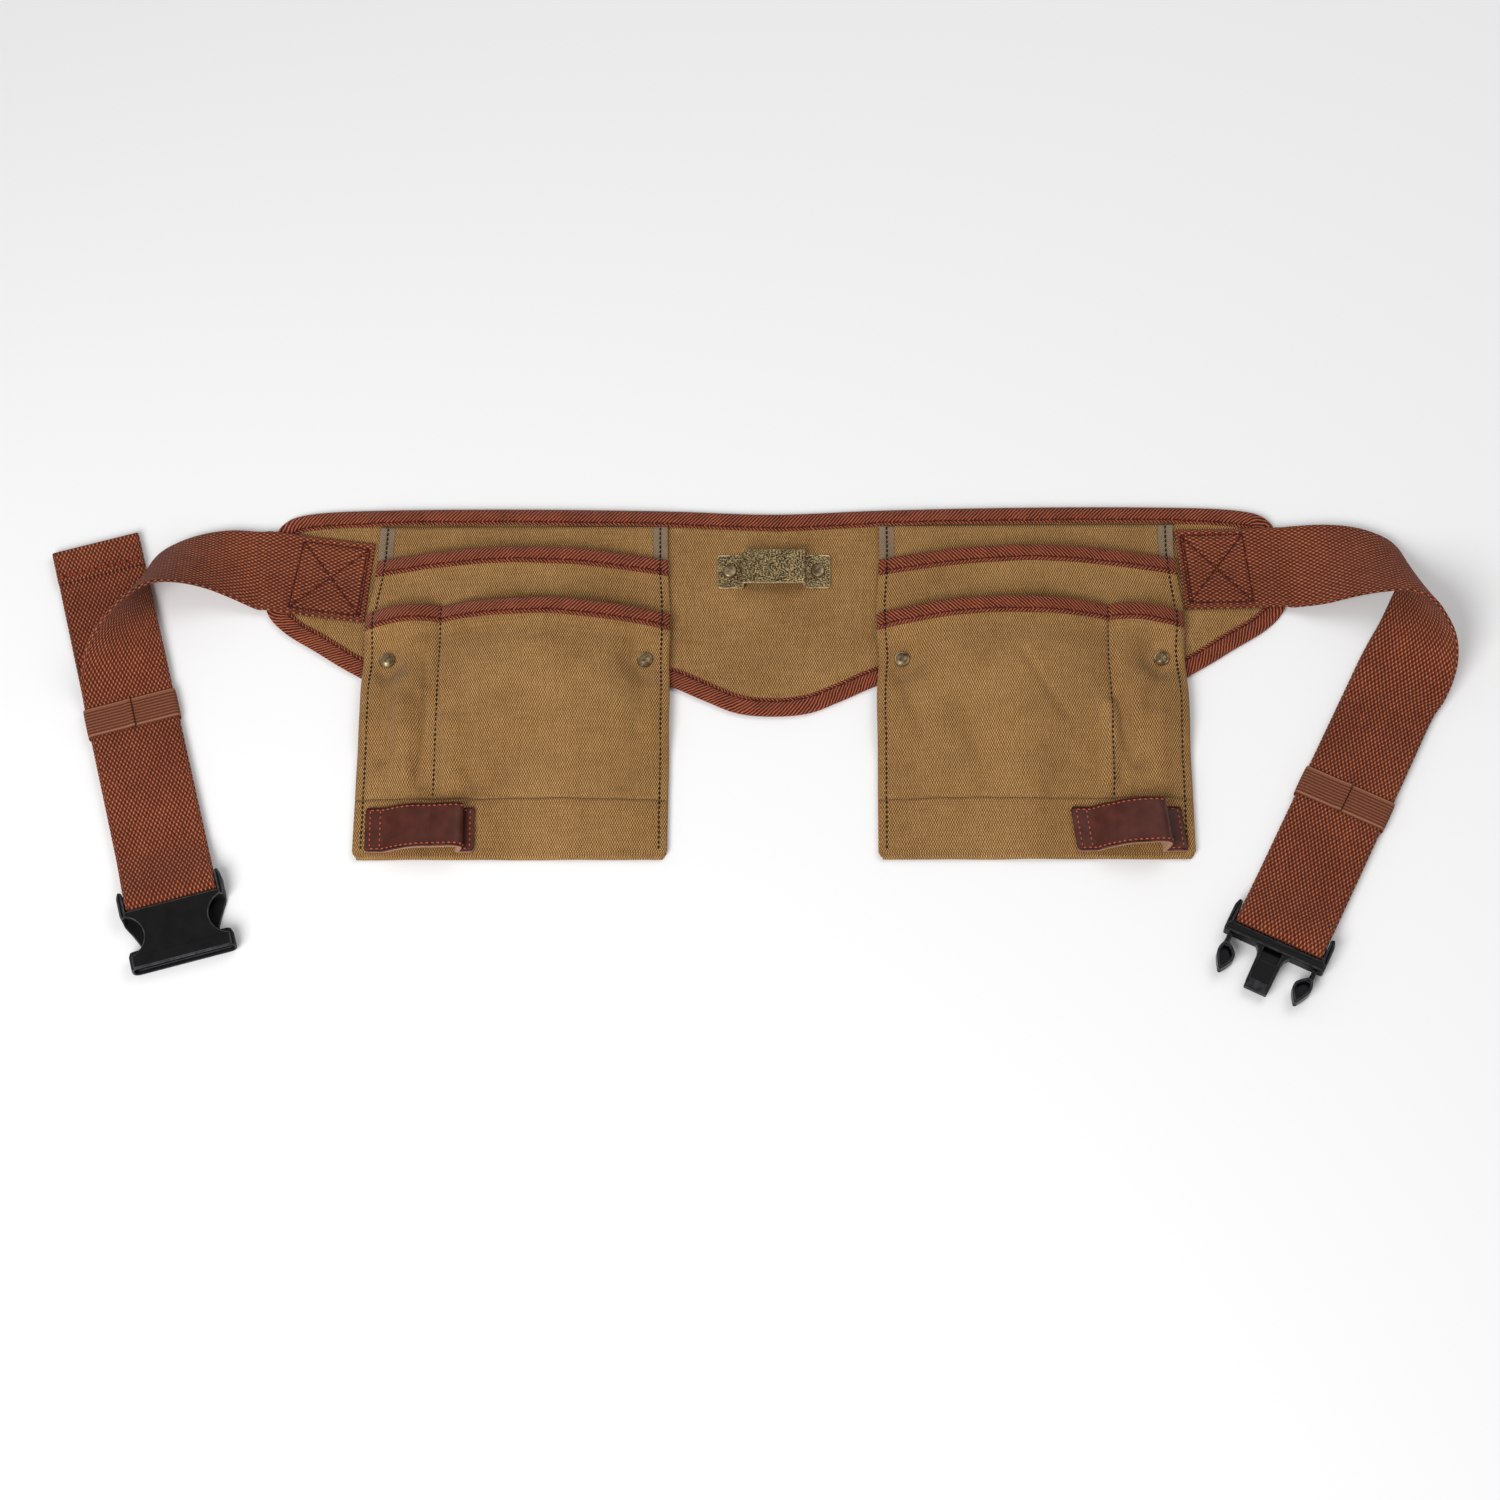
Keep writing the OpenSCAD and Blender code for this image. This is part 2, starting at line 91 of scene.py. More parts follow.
def lengths(line):
    return np.concatenate([[0], np.cumsum(np.linalg.norm(np.diff(line, axis=0), axis=1))])


def at_lengths(line, along):
    s = lengths(line)
    return np.stack([np.interp(along, s, line[:, k]) for k in range(line.shape[1])], axis=1)


def resample(line, pitch):
    total = lengths(line)[-1]
    return at_lengths(line, np.linspace(0, total, max(2, round(total / pitch) + 1)))


def ripple(x, y, size, seed):
    """Smooth waves between about -1 and 1, for how cloth and leather never lie quite flat."""
    a, b = x / size, y / size
    return (np.sin(1.7 * a + 0.9 * b + seed) + np.sin(-0.8 * a + 2.1 * b + 2.3 * seed)
            + np.sin(2.9 * a - 1.3 * b + 4.1 * seed)) / 3


# ---- mesh building ----
def mesh(name, points, faces, look, cloth=None):
    """A smooth-shaded object from points in millimetres. cloth is each point's place on the flat
    cloth (along, across, side), which the materials weave their yarns by. On stitches the third
    value is instead the painted shade of the needle's hole, and on mouldings their painted
    highlight."""
    slot, material = look
    data = bpy.data.meshes.new(name)
    data.from_pydata((np.asarray(points) * MM).tolist(), [], faces)
    data.materials.append(material)
    data.shade_smooth()
    place = np.asarray(points if cloth is None else cloth, float)
    attribute = data.attributes.new("cloth", "FLOAT_VECTOR", "POINT")
    attribute.data.foreach_set("vector", place.astype(np.float32).ravel())
    piece = bpy.data.objects.new(name, data)
    bpy.context.scene.collection.objects.link(piece)
    fix_normals(data)
    return piece


def fix_normals(data):
    """Turns every face outward, so that shading and the solid agree."""
    work = bmesh.new()
    work.from_mesh(data)
    bmesh.ops.recalc_face_normals(work, faces=work.faces)
    work.to_mesh(data)
    work.free()


def grid_faces(rows, ring, closed_rows=False):
    """Quads between neighbouring closed rings of points."""
    faces = []
    for i in range(rows if closed_rows else rows - 1):
        a, b = i * ring, (i + 1) % rows * ring
        faces += [(a + j, a + (j + 1) % ring, b + (j + 1) % ring, b + j) for j in range(ring)]
    return faces


def tube_faces(rows, ring, closed=False, start=0):
    """Faces of a tube of closed rings, counted from point `start`; it has caps unless closed."""
    faces = grid_faces(rows, ring, closed)
    if not closed:
        faces += [tuple(range(ring)), tuple(range((rows - 1) * ring, rows * ring))]
    return [tuple(start + v for v in face) for face in faces]


ROUND = [(0.5, 0.87), (0.97, 0.3), (0.97, -0.3), (0.5, -0.87)]
SQUARE = [(0.75, 1), (1, 0.75), (1, -0.75), (0.75, -1)]


def sheet_normals(grid):
    along = np.gradient(grid, axis=0)
    across = np.gradient(grid, axis=1)
    return unit(np.cross(across, along))


def shell(name, grid, thickness, look, edge=ROUND, scallop=0.0, pitch=1.0):
    """Closed sheet of one thickness round a middle surface, grid[along, across], with rounded
    sides. Its sides can be scalloped like a selvedge, one bump to each pitch along it."""
    rows, cols = grid.shape[:2]
    half = thickness / 2
    up = sheet_normals(grid) * half
    out_low = unit(grid[:, 0] - grid[:, 1])
    out_high = unit(grid[:, -1] - grid[:, -2])
    core = grid.copy()
    core[:, 0] -= out_low * half
    core[:, -1] -= out_high * half
    middle = grid[:, cols // 2]
    s = lengths(middle)
    bump = (scallop * np.abs(np.sin(np.pi * s / pitch)) / half + 1)[:, None]
    high_side = [core[:, -1] + out_high * half * x * bump + up[:, -1] * z for x, z in edge]
    low_side = [core[:, 0] + out_low * half * x * bump - up[:, 0] * z for x, z in edge]
    ring = np.concatenate([
        core + up, np.stack(high_side, 1), (core - up)[:, ::-1], np.stack(low_side, 1)], axis=1)
    t = lengths(grid[rows // 2])
    t = t - t[-1] / 2
    k = len(edge)
    round_side = half * lengths(np.array([(0, 1), *edge]))[1:]
    across = np.concatenate([t, t[-1] + round_side, t[::-1], t[0] - round_side[::-1]])
    ply = np.concatenate([np.zeros(cols), np.linspace(0.3, 0.8, k), np.ones(cols),
                          np.linspace(0.8, 0.3, k)])
    cloth = np.stack([np.repeat(s[:, None], len(across), 1), np.tile(across, (rows, 1)),
                      np.tile(ply, (rows, 1))], axis=2)
    n = ring.shape[1]
    faces = grid_faces(rows, n)
    under = 2 * cols + k - 1
    ends = [(j, under - j, under - j - 1, j + 1) for j in range(cols - 1)]
    ends += [tuple(range(cols - 1, cols + k + 1)), (*range(under, n), 0)]
    faces += [tuple(start + v for v in face) for start in (0, (rows - 1) * n) for face in ends]
    return mesh(name, ring.reshape(-1, 3), faces, look, cloth.reshape(-1, 3))


def sweep(name, rings, look, closed=False):
    """Solid through rings[along, around] that each go once round a cross-section."""
    rows, ring = rings.shape[:2]
    s = lengths(rings[:, 0])
    t = lengths(rings[0])
    cloth = np.stack([np.repeat(s[:, None], ring, 1), np.tile(t, (rows, 1)),
                      np.zeros((rows, ring))], axis=2)
    return mesh(name, rings.reshape(-1, 3), tube_faces(rows, ring, closed), look,
                cloth.reshape(-1, 3))


def lathe(name, profile, centres, look):
    """Turned solids, one for each centre, from one profile of (radius, height)."""
    steps = 48
    angles = np.linspace(0, 2 * np.pi, steps, endpoint=False)
    turn = np.stack([np.cos(angles), np.sin(angles)], axis=1)
    points, faces = [], []
    for x, y, z in centres:
        start = len(points)
        for r, h in profile:
            points += [(x + r * c, y + r * s, z + h) for c, s in turn]
        faces += tube_faces(len(profile), steps, start=start)
    return mesh(name, points, faces, look)


# Places along one stitch, its rise and its girth there, and how much painted shade from the
# needle's hole darkens it
STITCH = [(0.0, -0.3, 0.85, 1.0), (0.14, 0.1, 0.95, 0.9), (0.24, 0.35, 0.95, 0.1),
          (0.5, 0.6, 1.0, 0.0), (0.76, 0.35, 0.95, 0.1), (0.86, 0.1, 0.95, 0.9),
          (1.0, -0.3, 0.85, 1.0)]


def stitches(name, runs, look, pitch, radius, share=0.74):
    """Thread along each run of (points, normals): short arched stitches that dive at both ends.
    share is how much of the pitch a stitch takes up."""
    around = 6
    dice = random.Random(name)
    points, faces, place = [], [], []
    for line, normals in runs:
        s = lengths(line)
        count = max(1, int(s[-1] / pitch))
        step = s[-1] / count
        stations = np.array([(i + q * share) * step for i in range(count) for q, *_ in STITCH])
        centres = at_lengths(line, stations).reshape(count, len(STITCH), 3)
        ups = unit(at_lengths(np.concatenate([line, normals], axis=1), stations)[:, 3:])
        ups = ups.reshape(count, len(STITCH), 3)
        for centre, up in zip(centres, ups):
            ahead = unit(centre[-1] - centre[0])
            aside = unit(np.cross(ahead, up[2]))
            lean = dice.uniform(-0.12, 0.12)
            size = radius * dice.uniform(0.9, 1.12)
            start = len(points)
            for (q, rise, girth, hole_shade), c, n in zip(STITCH, centre, up):
                middle = c + n * rise * size + aside * lean * (q - 0.5)
                for k in range(around):
                    a = 2 * np.pi * k / around
                    points.append(middle + (aside * np.cos(a) + n * np.sin(a)) * girth * size)
                    place.append((s[-1] * q, a, hole_shade))
            faces += tube_faces(len(STITCH), around, start=start)
    return mesh(name, points, faces, look, place)


def draped(height, corners, pitch, lift):
    """A run of stitching on the surface z = height(x, y), along straight lines from corner to
    corner, with the surface's normals."""
    flat = resample(np.array(corners, float), pitch)
    x, y = flat[:, 0], flat[:, 1]
    d = 0.4
    dx = (height(x + d, y) - height(x - d, y)) / (2 * d)
    dy = (height(x, y + d) - height(x, y - d)) / (2 * d)
    normals = unit(np.stack([-dx, -dy, np.ones_like(x)], axis=1))
    return np.stack([x, y, height(x, y) + lift], axis=1), normals


def facing(points, up=1.0):
    """A run of stitches on flat cloth: the points, with normals straight up or down."""
    return points, np.tile([0.0, 0.0, up], (len(points), 1))


def riding(piece, body, *nodes):
    """The piece rides on the body, and stands for the CAD nodes named."""
    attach(piece, body)
    if nodes:
        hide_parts(*nodes)


# ---- materials ----
class Nodes:
    """Short spelling for building one material's node tree."""

    def __init__(self, name, specular=0.5):
        self.material = bpy.data.materials.new(name)
        self.material.use_nodes = True
        self.tree = self.material.node_tree
        self.shader = self.tree.nodes["Principled BSDF"]
        self.shader.inputs["Specular IOR Level"].default_value = specular
        place = self.node("ShaderNodeAttribute", attribute_name="cloth")
        self.along, self.across, self.ply = self.split(place.outputs["Vector"])
        self.place = place.outputs["Vector"]

    def node(self, kind, **settings):
        made = self.tree.nodes.new(kind)
        for key, value in settings.items():
            setattr(made, key, value)
        return made

    def feed(self, socket, value):
        if isinstance(value, bpy.types.NodeSocket):
            self.tree.links.new(value, socket)
        else:
            socket.default_value = value

    def split(self, vector):
        made = self.node("ShaderNodeSeparateXYZ")
        self.feed(made.inputs[0], vector)
        return made.outputs[0], made.outputs[1], made.outputs[2]

    def calc(self, operation, *values):
        made = self.node("ShaderNodeMath", operation=operation)
        for socket, value in zip(made.inputs, values):
            self.feed(socket, value)
        return made.outputs[0]

    def scaled(self, value, low, high, to_low, to_high):
        made = self.node("ShaderNodeMapRange", clamp=True)
        for socket, number in zip(made.inputs, (value, low, high, to_low, to_high)):
            self.feed(socket, number)
        return made.outputs[0]

    def noise(self, scale, detail, stretch=(1, 1, 1), roughness=0.5):
        mapping = self.node("ShaderNodeMapping")
        self.feed(mapping.inputs["Vector"], self.place)
        mapping.inputs["Scale"].default_value = stretch
        made = self.node("ShaderNodeTexNoise")
        self.feed(made.inputs["Vector"], mapping.outputs[0])
        made.inputs["Scale"].default_value = scale
        made.inputs["Detail"].default_value = detail
        made.inputs["Roughness"].default_value = roughness
        return made.outputs["Fac"]

    def waves(self, place, period):
        """A cosine of the place, from 0 to 1, with this period in millimetres."""
        turned = self.calc("MULTIPLY", place, 2 * math.pi / period)
        return self.scaled(self.calc("COSINE", turned), -1, 1, 0, 1)

    def ramp(self, share, *stops):
        """Colour along stops of (place, sRGB values from 0 to 255)."""
        made = self.node("ShaderNodeValToRGB")
        self.feed(made.inputs[0], share)
        elements = made.color_ramp.elements
        while len(elements) < len(stops):
            elements.new(0.5)
        for element, (place, tone) in zip(elements, stops):
            element.position = place
            element.color = (*srgb(*tone), 1)
        return made.outputs[0]

    def mixed(self, share, a, b):
        made = self.node("ShaderNodeMix", data_type="RGBA")
        for socket, value in zip((made.inputs[0], made.inputs[6], made.inputs[7]), (share, a, b)):
            self.feed(socket, value)
        return made.outputs[2]

    def finish(self, colour, roughness, height=None, depth=0.3, strength=1.0):
        """depth is the relief in millimetres."""
        self.feed(self.shader.inputs["Base Color"], colour)
        self.feed(self.shader.inputs["Roughness"], roughness)
        if height is not None:
            bump = self.node("ShaderNodeBump")
            bump.inputs["Strength"].default_value = strength
            bump.inputs["Distance"].default_value = depth * MM
            self.feed(bump.inputs["Height"], height)
            self.feed(self.shader.inputs["Normal"], bump.outputs[0])
        return self.material


def srgb(r, g, b):
    """Linear colour from the 0 to 255 values that a screen shows."""
    return tuple(((c / 255 + 0.055) / 1.055) ** 2.4 for c in (r, g, b))


def woven(name, across, along, tones, depth, slub, tip):
    """Plain weave: staggered knuckles of yarn, one each `across` and half of `along`. Each yarn
    is a little thicker and darker in places. The gaps between the knuckles are painted dark as
    shade, and their tips painted pale as a highlight."""
    n = Nodes(name, 0.2)
    x = n.calc("ADD", n.across, n.scaled(n.noise(0.35, 3), 0.3, 0.7, -0.15, 0.15))
    y = n.calc("ADD", n.along, n.scaled(n.noise(0.41, 3), 0.3, 0.7, -0.15, 0.15))
    a = n.calc("COSINE", n.calc("MULTIPLY", x, 2 * math.pi / across))
    b = n.calc("COSINE", n.calc("MULTIPLY", y, 2 * math.pi / along))
    knuckle = n.scaled(n.calc("MULTIPLY", a, b), -1, 1, 0, 1)
    warp = n.scaled(n.noise(1.0 / across, 2, (0.12, 1, 1)), 0.35, 0.65, -1, 1)
    weft = n.scaled(n.noise(2.0 / along, 2, (1, 0.12, 1)), 0.35, 0.65, -1, 1)
    fibre = n.scaled(n.noise(1.9, 2), 0.3, 0.7, -1, 1)
    cloud = n.scaled(n.noise(0.02, 4), 0.35, 0.65, -1, 1)
    shade = n.calc("MULTIPLY_ADD", warp, slub, knuckle)
    shade = n.calc("MULTIPLY_ADD", weft, slub, shade)
    shade = n.calc("MULTIPLY_ADD", fibre, 0.12, shade)
    shade = n.calc("MULTIPLY_ADD", cloud, 0.05, shade)
    # The ramp paints shade into the gaps between knuckles and a highlight onto their tips; the
    # second tone is the yarn's own colour.
    colour = n.ramp(shade, (0.0, tones[0]), (0.5, tones[1]), (tip, tones[2]), (1.0, tones[3]))
    n.shader.inputs["Sheen Weight"].default_value = 0.08
    n.shader.inputs["Sheen Roughness"].default_value = 0.5
    height = n.calc("MULTIPLY_ADD", fibre, 0.08, knuckle)
    return n.finish(colour, n.scaled(knuckle, 0, 1, 0.95, 0.75), height, depth)


def ribbed(name, period, slope, tones, depth, fold=0.0):
    """Twill tape: slanted ribs, which turn back at `fold` across it to make a herringbone. The
    grooves between ribs are painted dark as shade and the crests pale as a highlight.
    """
    n = Nodes(name, 0.2)
    off = n.calc("ABSOLUTE", n.calc("SUBTRACT", n.across, fold))
    drift = n.scaled(n.noise(0.3, 2), 0.3, 0.7, -0.3, 0.3)
    phase = n.calc("ADD", n.calc("MULTIPLY_ADD", off, slope, n.along), drift)
    rib = n.waves(phase, period)
    fibre = n.scaled(n.noise(1.5, 3), 0.3, 0.7, -1, 1)
    wear_and_rim_light = n.scaled(n.noise(0.09, 4), 0.35, 0.65, -1, 1)
    shade = n.calc("MULTIPLY_ADD", wear_and_rim_light, 0.08, n.calc("MULTIPLY_ADD", fibre, 0.15, rib))
    n.shader.inputs["Sheen Weight"].default_value = 0.08
    # Painted shade in the rib grooves, the tape's own colour in the middle, painted highlight on
    # the crests.
    colour = n.ramp(shade, (0.0, tones[0]), (0.5, tones[1]), (1.0, tones[2]))
    return n.finish(colour, 0.85, n.calc("MULTIPLY_ADD", fibre, 0.1, rib), depth)


def thread(name, tone):
    """Twisted sewing thread of this sRGB tone, with painted shade where it dives into the cloth."""
    n = Nodes(name, 0.3)
    twist = n.scaled(n.noise(2.2, 2), 0.35, 0.65, 0, 1)
    # The darkest tone is painted shade, where the thread sinks into the needle's hole.
    low, hole_shade = (tuple(share * c for c in tone) for share in (0.75, 0.28))
    yarn = n.ramp(twist, (0.0, low), (1.0, tone))
    return n.finish(n.mixed(n.ply, yarn, (*srgb(*hole_shade), 1)), 0.65, twist, 0.12)


def leather_material():
    """Smooth brown top ply with burnished sides; the under ply is pale suede."""
    n = Nodes("leather", 0.25)
    cells = n.node("ShaderNodeTexVoronoi", feature="DISTANCE_TO_EDGE")
    n.feed(cells.inputs["Vector"], n.place)
    cells.inputs["Scale"].default_value = 1.3
    grain = n.scaled(cells.outputs["Distance"], 0, 0.25, 0, 1)
    cloud = n.scaled(n.noise(0.12, 4), 0.3, 0.7, 0, 1)
    top = n.ramp(cloud, (0.0, (65, 28, 21)), (0.55, (76, 35, 27)), (1.0, (85, 41, 31)))
    nap = n.scaled(n.noise(1.2, 3), 0.3, 0.7, 0, 1)
    suede = n.ramp(nap, (0.0, (136, 96, 74)), (1.0, (180, 138, 112)))
    under = n.scaled(n.ply, 0.4, 0.48, 0, 1)
    height = n.calc("MULTIPLY_ADD", grain, 0.5, nap)
    return n.finish(n.mixed(under, top, suede), n.scaled(under, 0, 1, 0.45, 0.9), height, 0.1, 0.5)


def brass_material(name, tones, mottle, metallic, relief):
    """Antique brass: olive-brown patina, finely mottled. Its sharp convex edges take the fourth
    tone
    and a smoother finish: a painted highlight on the bracket, painted shade round the rims of the
    rivets."""
    n = Nodes(name)
    fine = n.noise(mottle, 5, roughness=0.75)
    broad = n.scaled(n.noise(mottle * 0.16, 3), 0.35, 0.65, -1, 1)
    patina = n.calc("MULTIPLY_ADD", broad, 0.12, n.scaled(fine, 0.42, 0.58, 0, 1))
    edge = n.node("ShaderNodeNewGeometry")
    # Sharp convex edges, painted in the fourth tone: a highlight on the bracket, a shaded rim on
    # the rivets.
    painted_edge_shading = n.scaled(edge.outputs["Pointiness"], 0.53, 0.6, 0, 1)
    tone = n.ramp(patina, (0.1, tones[0]), (0.5, tones[1]), (0.9, tones[2]))
    colour = n.mixed(painted_edge_shading, tone, (*srgb(*tones[3]), 1))
    n.shader.inputs["Metallic"].default_value = metallic
    rough = n.scaled(n.calc("MAXIMUM", patina, painted_edge_shading), 0, 1, 0.62, 0.36)
    return n.finish(colour, rough, fine, relief, 0.7)


def plastic_material(name, tones, roughness, gloss):
    """Black moulded plastic, its rims (where the third value is 1) painted a little paler as a
    highlight.
    """
    n = Nodes(name, gloss)
    fine = n.noise(2.0, 3)
    tone = n.ramp(n.noise(0.1, 3), (0.3, tones[0]), (0.7, tones[1]))
    # Painted highlight on the rims, patchy along them.
    painted_edge_shading = n.calc("MULTIPLY", n.ply, n.scaled(n.noise(0.35, 3), 0.35, 0.65, 0.35, 1))
    rough = n.scaled(fine, 0.3, 0.7, roughness, roughness + 0.1)
    return n.finish(n.mixed(painted_edge_shading, tone, (*srgb(*tones[2]), 1)), rough, fine, 0.03, 0.4)


def elastic_material():
    """Ribs of covered rubber that run along the band, between two pale woven edges. The grooves
    between ribs are painted dark as shade and the crests pale as a highlight.
    """
    n = Nodes("elastic", 0.2)
    rib = n.waves(n.across, 1.8)
    weft = n.scaled(n.noise(1.1, 2, (1.6, 0.4, 1)), 0.3, 0.7, -1, 1)
    shade = n.calc("MULTIPLY_ADD", weft, 0.2, rib)
    # Painted shade in the grooves between ribs and painted highlight on their crests, round the
    # rubber's own colour.
    ribs = n.ramp(shade, (0.0, (88, 46, 31)), (0.5, (116, 66, 46)), (1.0, (140, 86, 63)))
    off = n.calc("ABSOLUTE", n.calc("SUBTRACT", n.calc("ABSOLUTE", n.across), 8.0))
    edge = n.scaled(off, 0.3, 0.6, 0.85, 0)
    return n.finish(n.mixed(edge, ribs, (*srgb(168, 116, 88), 1)), 0.85, rib, 0.4)


# Canvas and webbing tones: painted shade between the knuckles, the yarn's own colour, then two
# paler tones, a painted highlight towards the knuckles' tips.
CANVAS = ("canvas", woven("canvas", 1.35, 2.72, [(62, 37, 13), (142, 101, 54), (193, 149, 93),
                                                 (219, 178, 122)], 0.4, 0.035, 0.85))
WEBBING = ("webbing", woven("webbing", 2.27, 3.8, [(46, 14, 8), (103, 46, 27), (149, 76, 47),
                                                   (208, 124, 82)], 0.7, 0.03, 0.75))
# Tape tones: painted shade in the rib grooves, the tape's own colour, painted highlight on the rib
# crests.
TAPE = ("webbing_tape", ribbed("binding_tape", 2.1, 0.9, [(42, 11, 6), (114, 49, 30),
                                                          (186, 99, 64)], 0.55, 2.6))
TWILL = ("twill_tape", ribbed("taupe_twill", 1.1, 1.0, [(88, 68, 50), (136, 112, 88),
                                                        (176, 152, 124)], 0.25))
ELASTIC = ("elastic", elastic_material())
LEATHER = ("leather", leather_material())
# The bracket's fourth tone is a painted highlight on its edges.
BRACKET = ("brass", brass_material("antique_brass", [(16, 11, 6), (72, 58, 36), (204, 176, 122),
                                                     (236, 214, 170)], 1.1, 0.6, 0.06))
# The rivets' fourth tone is painted shade round the rim of each cap.
RIVET = ("brass", brass_material("rivet_brass", [(96, 78, 54), (128, 108, 78), (160, 140, 106),
                                                 (62, 47, 30)], 0.15, 0.75, 0.02))
# The third tone of each plastic is the painted highlight on its rims.
PLASTIC = ("plastic", plastic_material("black_plastic", [(18, 18, 19), (26, 26, 27), (72, 72, 75)],
                                       0.5, 0.08))
GLOSSY = ("plastic", plastic_material("glossy_plastic", [(3, 3, 4), (7, 7, 8), (54, 54, 57)],
                                      0.22, 0.09))
DARK_THREAD = ("canvas", thread("dark_thread", (38, 28, 23)))
RUST_THREAD = ("webbing_tape", thread("rust_thread", (206, 82, 50)))
MAROON_THREAD = ("webbing", thread("maroon_thread", (112, 32, 21)))
ORANGE_THREAD = ("leather", thread("orange_thread", (236, 116, 74)))


# ---- waist panel ----
# Right half of the panel's outline, from the middle of its top edge round to its lower edge's
HALF_OUTLINE = [(0, 62.5), (64, 65), (150, 66.5), (230, 66), (268, 63.5), (282, 57), (285.5, 45),
                (287, 20), (287.5, 3), (277, -10), (258, -22.5), (236, -36.5), (205, -52),
                (165, -60), (120, -54), (85, -42), (62, -43), (38, -53.5), (20, -61), (0, -63)]
LINING_Z = (0.35, 1.2)
FACE_Z = (1.35, 2.5)
TAPE_T = 0.75
POUCH_IN, POUCH_W = 58, 173


def panel_outline(pitch):
    """The panel's outline, evenly spaced and counter-clockwise, without the closing point. It
    starts under the right pouch, where the binding's two ends meet."""
    mirrored = [(-x, y) for x, y in HALF_OUTLINE[-2:0:-1]]
    around = HALF_OUTLINE + mirrored
    curve = spline(around[-3:] + around + around[:3], 8)
    curve = curve[3 * 8:-2 * 8]
    outline = resample(curve, pitch)[:-1][::-1]
    joint = np.argmin(np.hypot(outline[:, 0] - 120, outline[:, 1] + 54))
    return np.roll(outline, -joint, axis=0)


def outward(outline):
    """Unit normals of a closed counter-clockwise outline."""
    along = np.roll(outline, -1, axis=0) - np.roll(outline, 1, axis=0)
    return unit(np.stack([along[:, 1], -along[:, 0]], axis=1))


def over_pouch(x, y):
    """How far the top binding swells over the pouch canvas that is caught beneath it."""
    u = (np.abs(x) - POUCH_IN) / POUCH_W
    return ease((u + 0.02) / 0.03) * ease((1.02 - u) / 0.03) * ease((y - 40) / 5)


def flat_panel(name, outline, low, high, look):
    """A closed slab of cloth inside the outline; low and high give its two faces at (x, y)."""
    centre_x = np.arange(outline[:, 0].min() + 3, outline[:, 0].max() - 2, 4.5)
    centre_y = np.arange(outline[:, 1].min() + 3, outline[:, 1].max() - 2, 4.5)
    inner = [Vector((x, y)) for x in centre_x for y in centre_y if inside(outline, x, y, 2.5)]
    rim = [Vector(p) for p in outline]
    flat, _, faces, *_ = geometry.delaunay_2d_cdt(
        rim + inner, [], [list(range(len(rim)))], 1, 1e-4)
    x, y = np.array([p.x for p in flat]), np.array([p.y for p in flat])
    count = len(flat)
    points = np.concatenate([np.stack([x, y, high(x, y)], 1), np.stack([x, y, low(x, y)], 1)])
    walls = [(i, (i + 1) % len(rim), (i + 1) % len(rim) + count, i + count)
             for i in range(len(rim))]
    turned = [tuple(v + count for v in face[::-1]) for face in faces]
    return mesh(name, points, [tuple(f) for f in faces] + turned + walls, look,
                points[:, [1, 0, 2]])


def inside(outline, x, y, margin):
    """True if (x, y) is inside the outline by more than the margin."""
    a, b = outline, np.roll(outline, -1, axis=0)
    crosses = (a[:, 1] > y) != (b[:, 1] > y)
    cut = (b[:, 0] - a[:, 0]) * (y - a[:, 1]) / np.where(crosses, b[:, 1] - a[:, 1], 1) + a[:, 0]
    near = np.hypot(a[:, 0] - x, a[:, 1] - y).min()
    return np.count_nonzero(crosses & (x < cut)) % 2 == 1 and near > margin


def level(z, swing=0.0, size=1.0, seed=0.0):
    """A height function: z, give or take a ripple of this swing and size."""
    return lambda x, y: z + swing * ripple(x, y, size, seed)


def waist_panel():
    outline = panel_outline(3.0)
    face = flat_panel("yoke_canvas", outline, level(FACE_Z[0]), level(FACE_Z[1] - 0.1, 0.25, 26, 2),
                      CANVAS)
    hidden = outline - outward(outline) * 2.5
    lining = flat_panel("lining_canvas", hidden, level(LINING_Z[0] + 0.3, 0.15, 30, 4),
                        level(LINING_Z[1]), CANVAS)
    riding(face, "belt", "yoke_face")
    riding(lining, "belt", "yoke_lining")
    return face, lining


# The folded tape's cross-section, as (distance inside the panel's edge, height)
BINDING_PROFILE = [(9.9, 2.62), (10.0, 2.95), (9.6, 3.3), (8.8, 3.36), (8.0, 2.85), (7.1, 3.36),
                   (4.5, 3.45), (1.2, 3.36), (0.0, 3.05), (-0.7, 2.3), (-0.8, 1.6), (-0.55, 0.9),
                   (0.2, 0.4), (1.4, 0.22), (5, 0.16), (8.6, 0.2), (9.6, 0.24), (10.0, 0.45),
                   (9.9, 0.6), (5, 0.62), (1.6, 0.7), (0.6, 1.3), (0.6, 2.1), (1.6, 2.6),
                   (5, 2.62)]
BINDING_ROW = 8.0


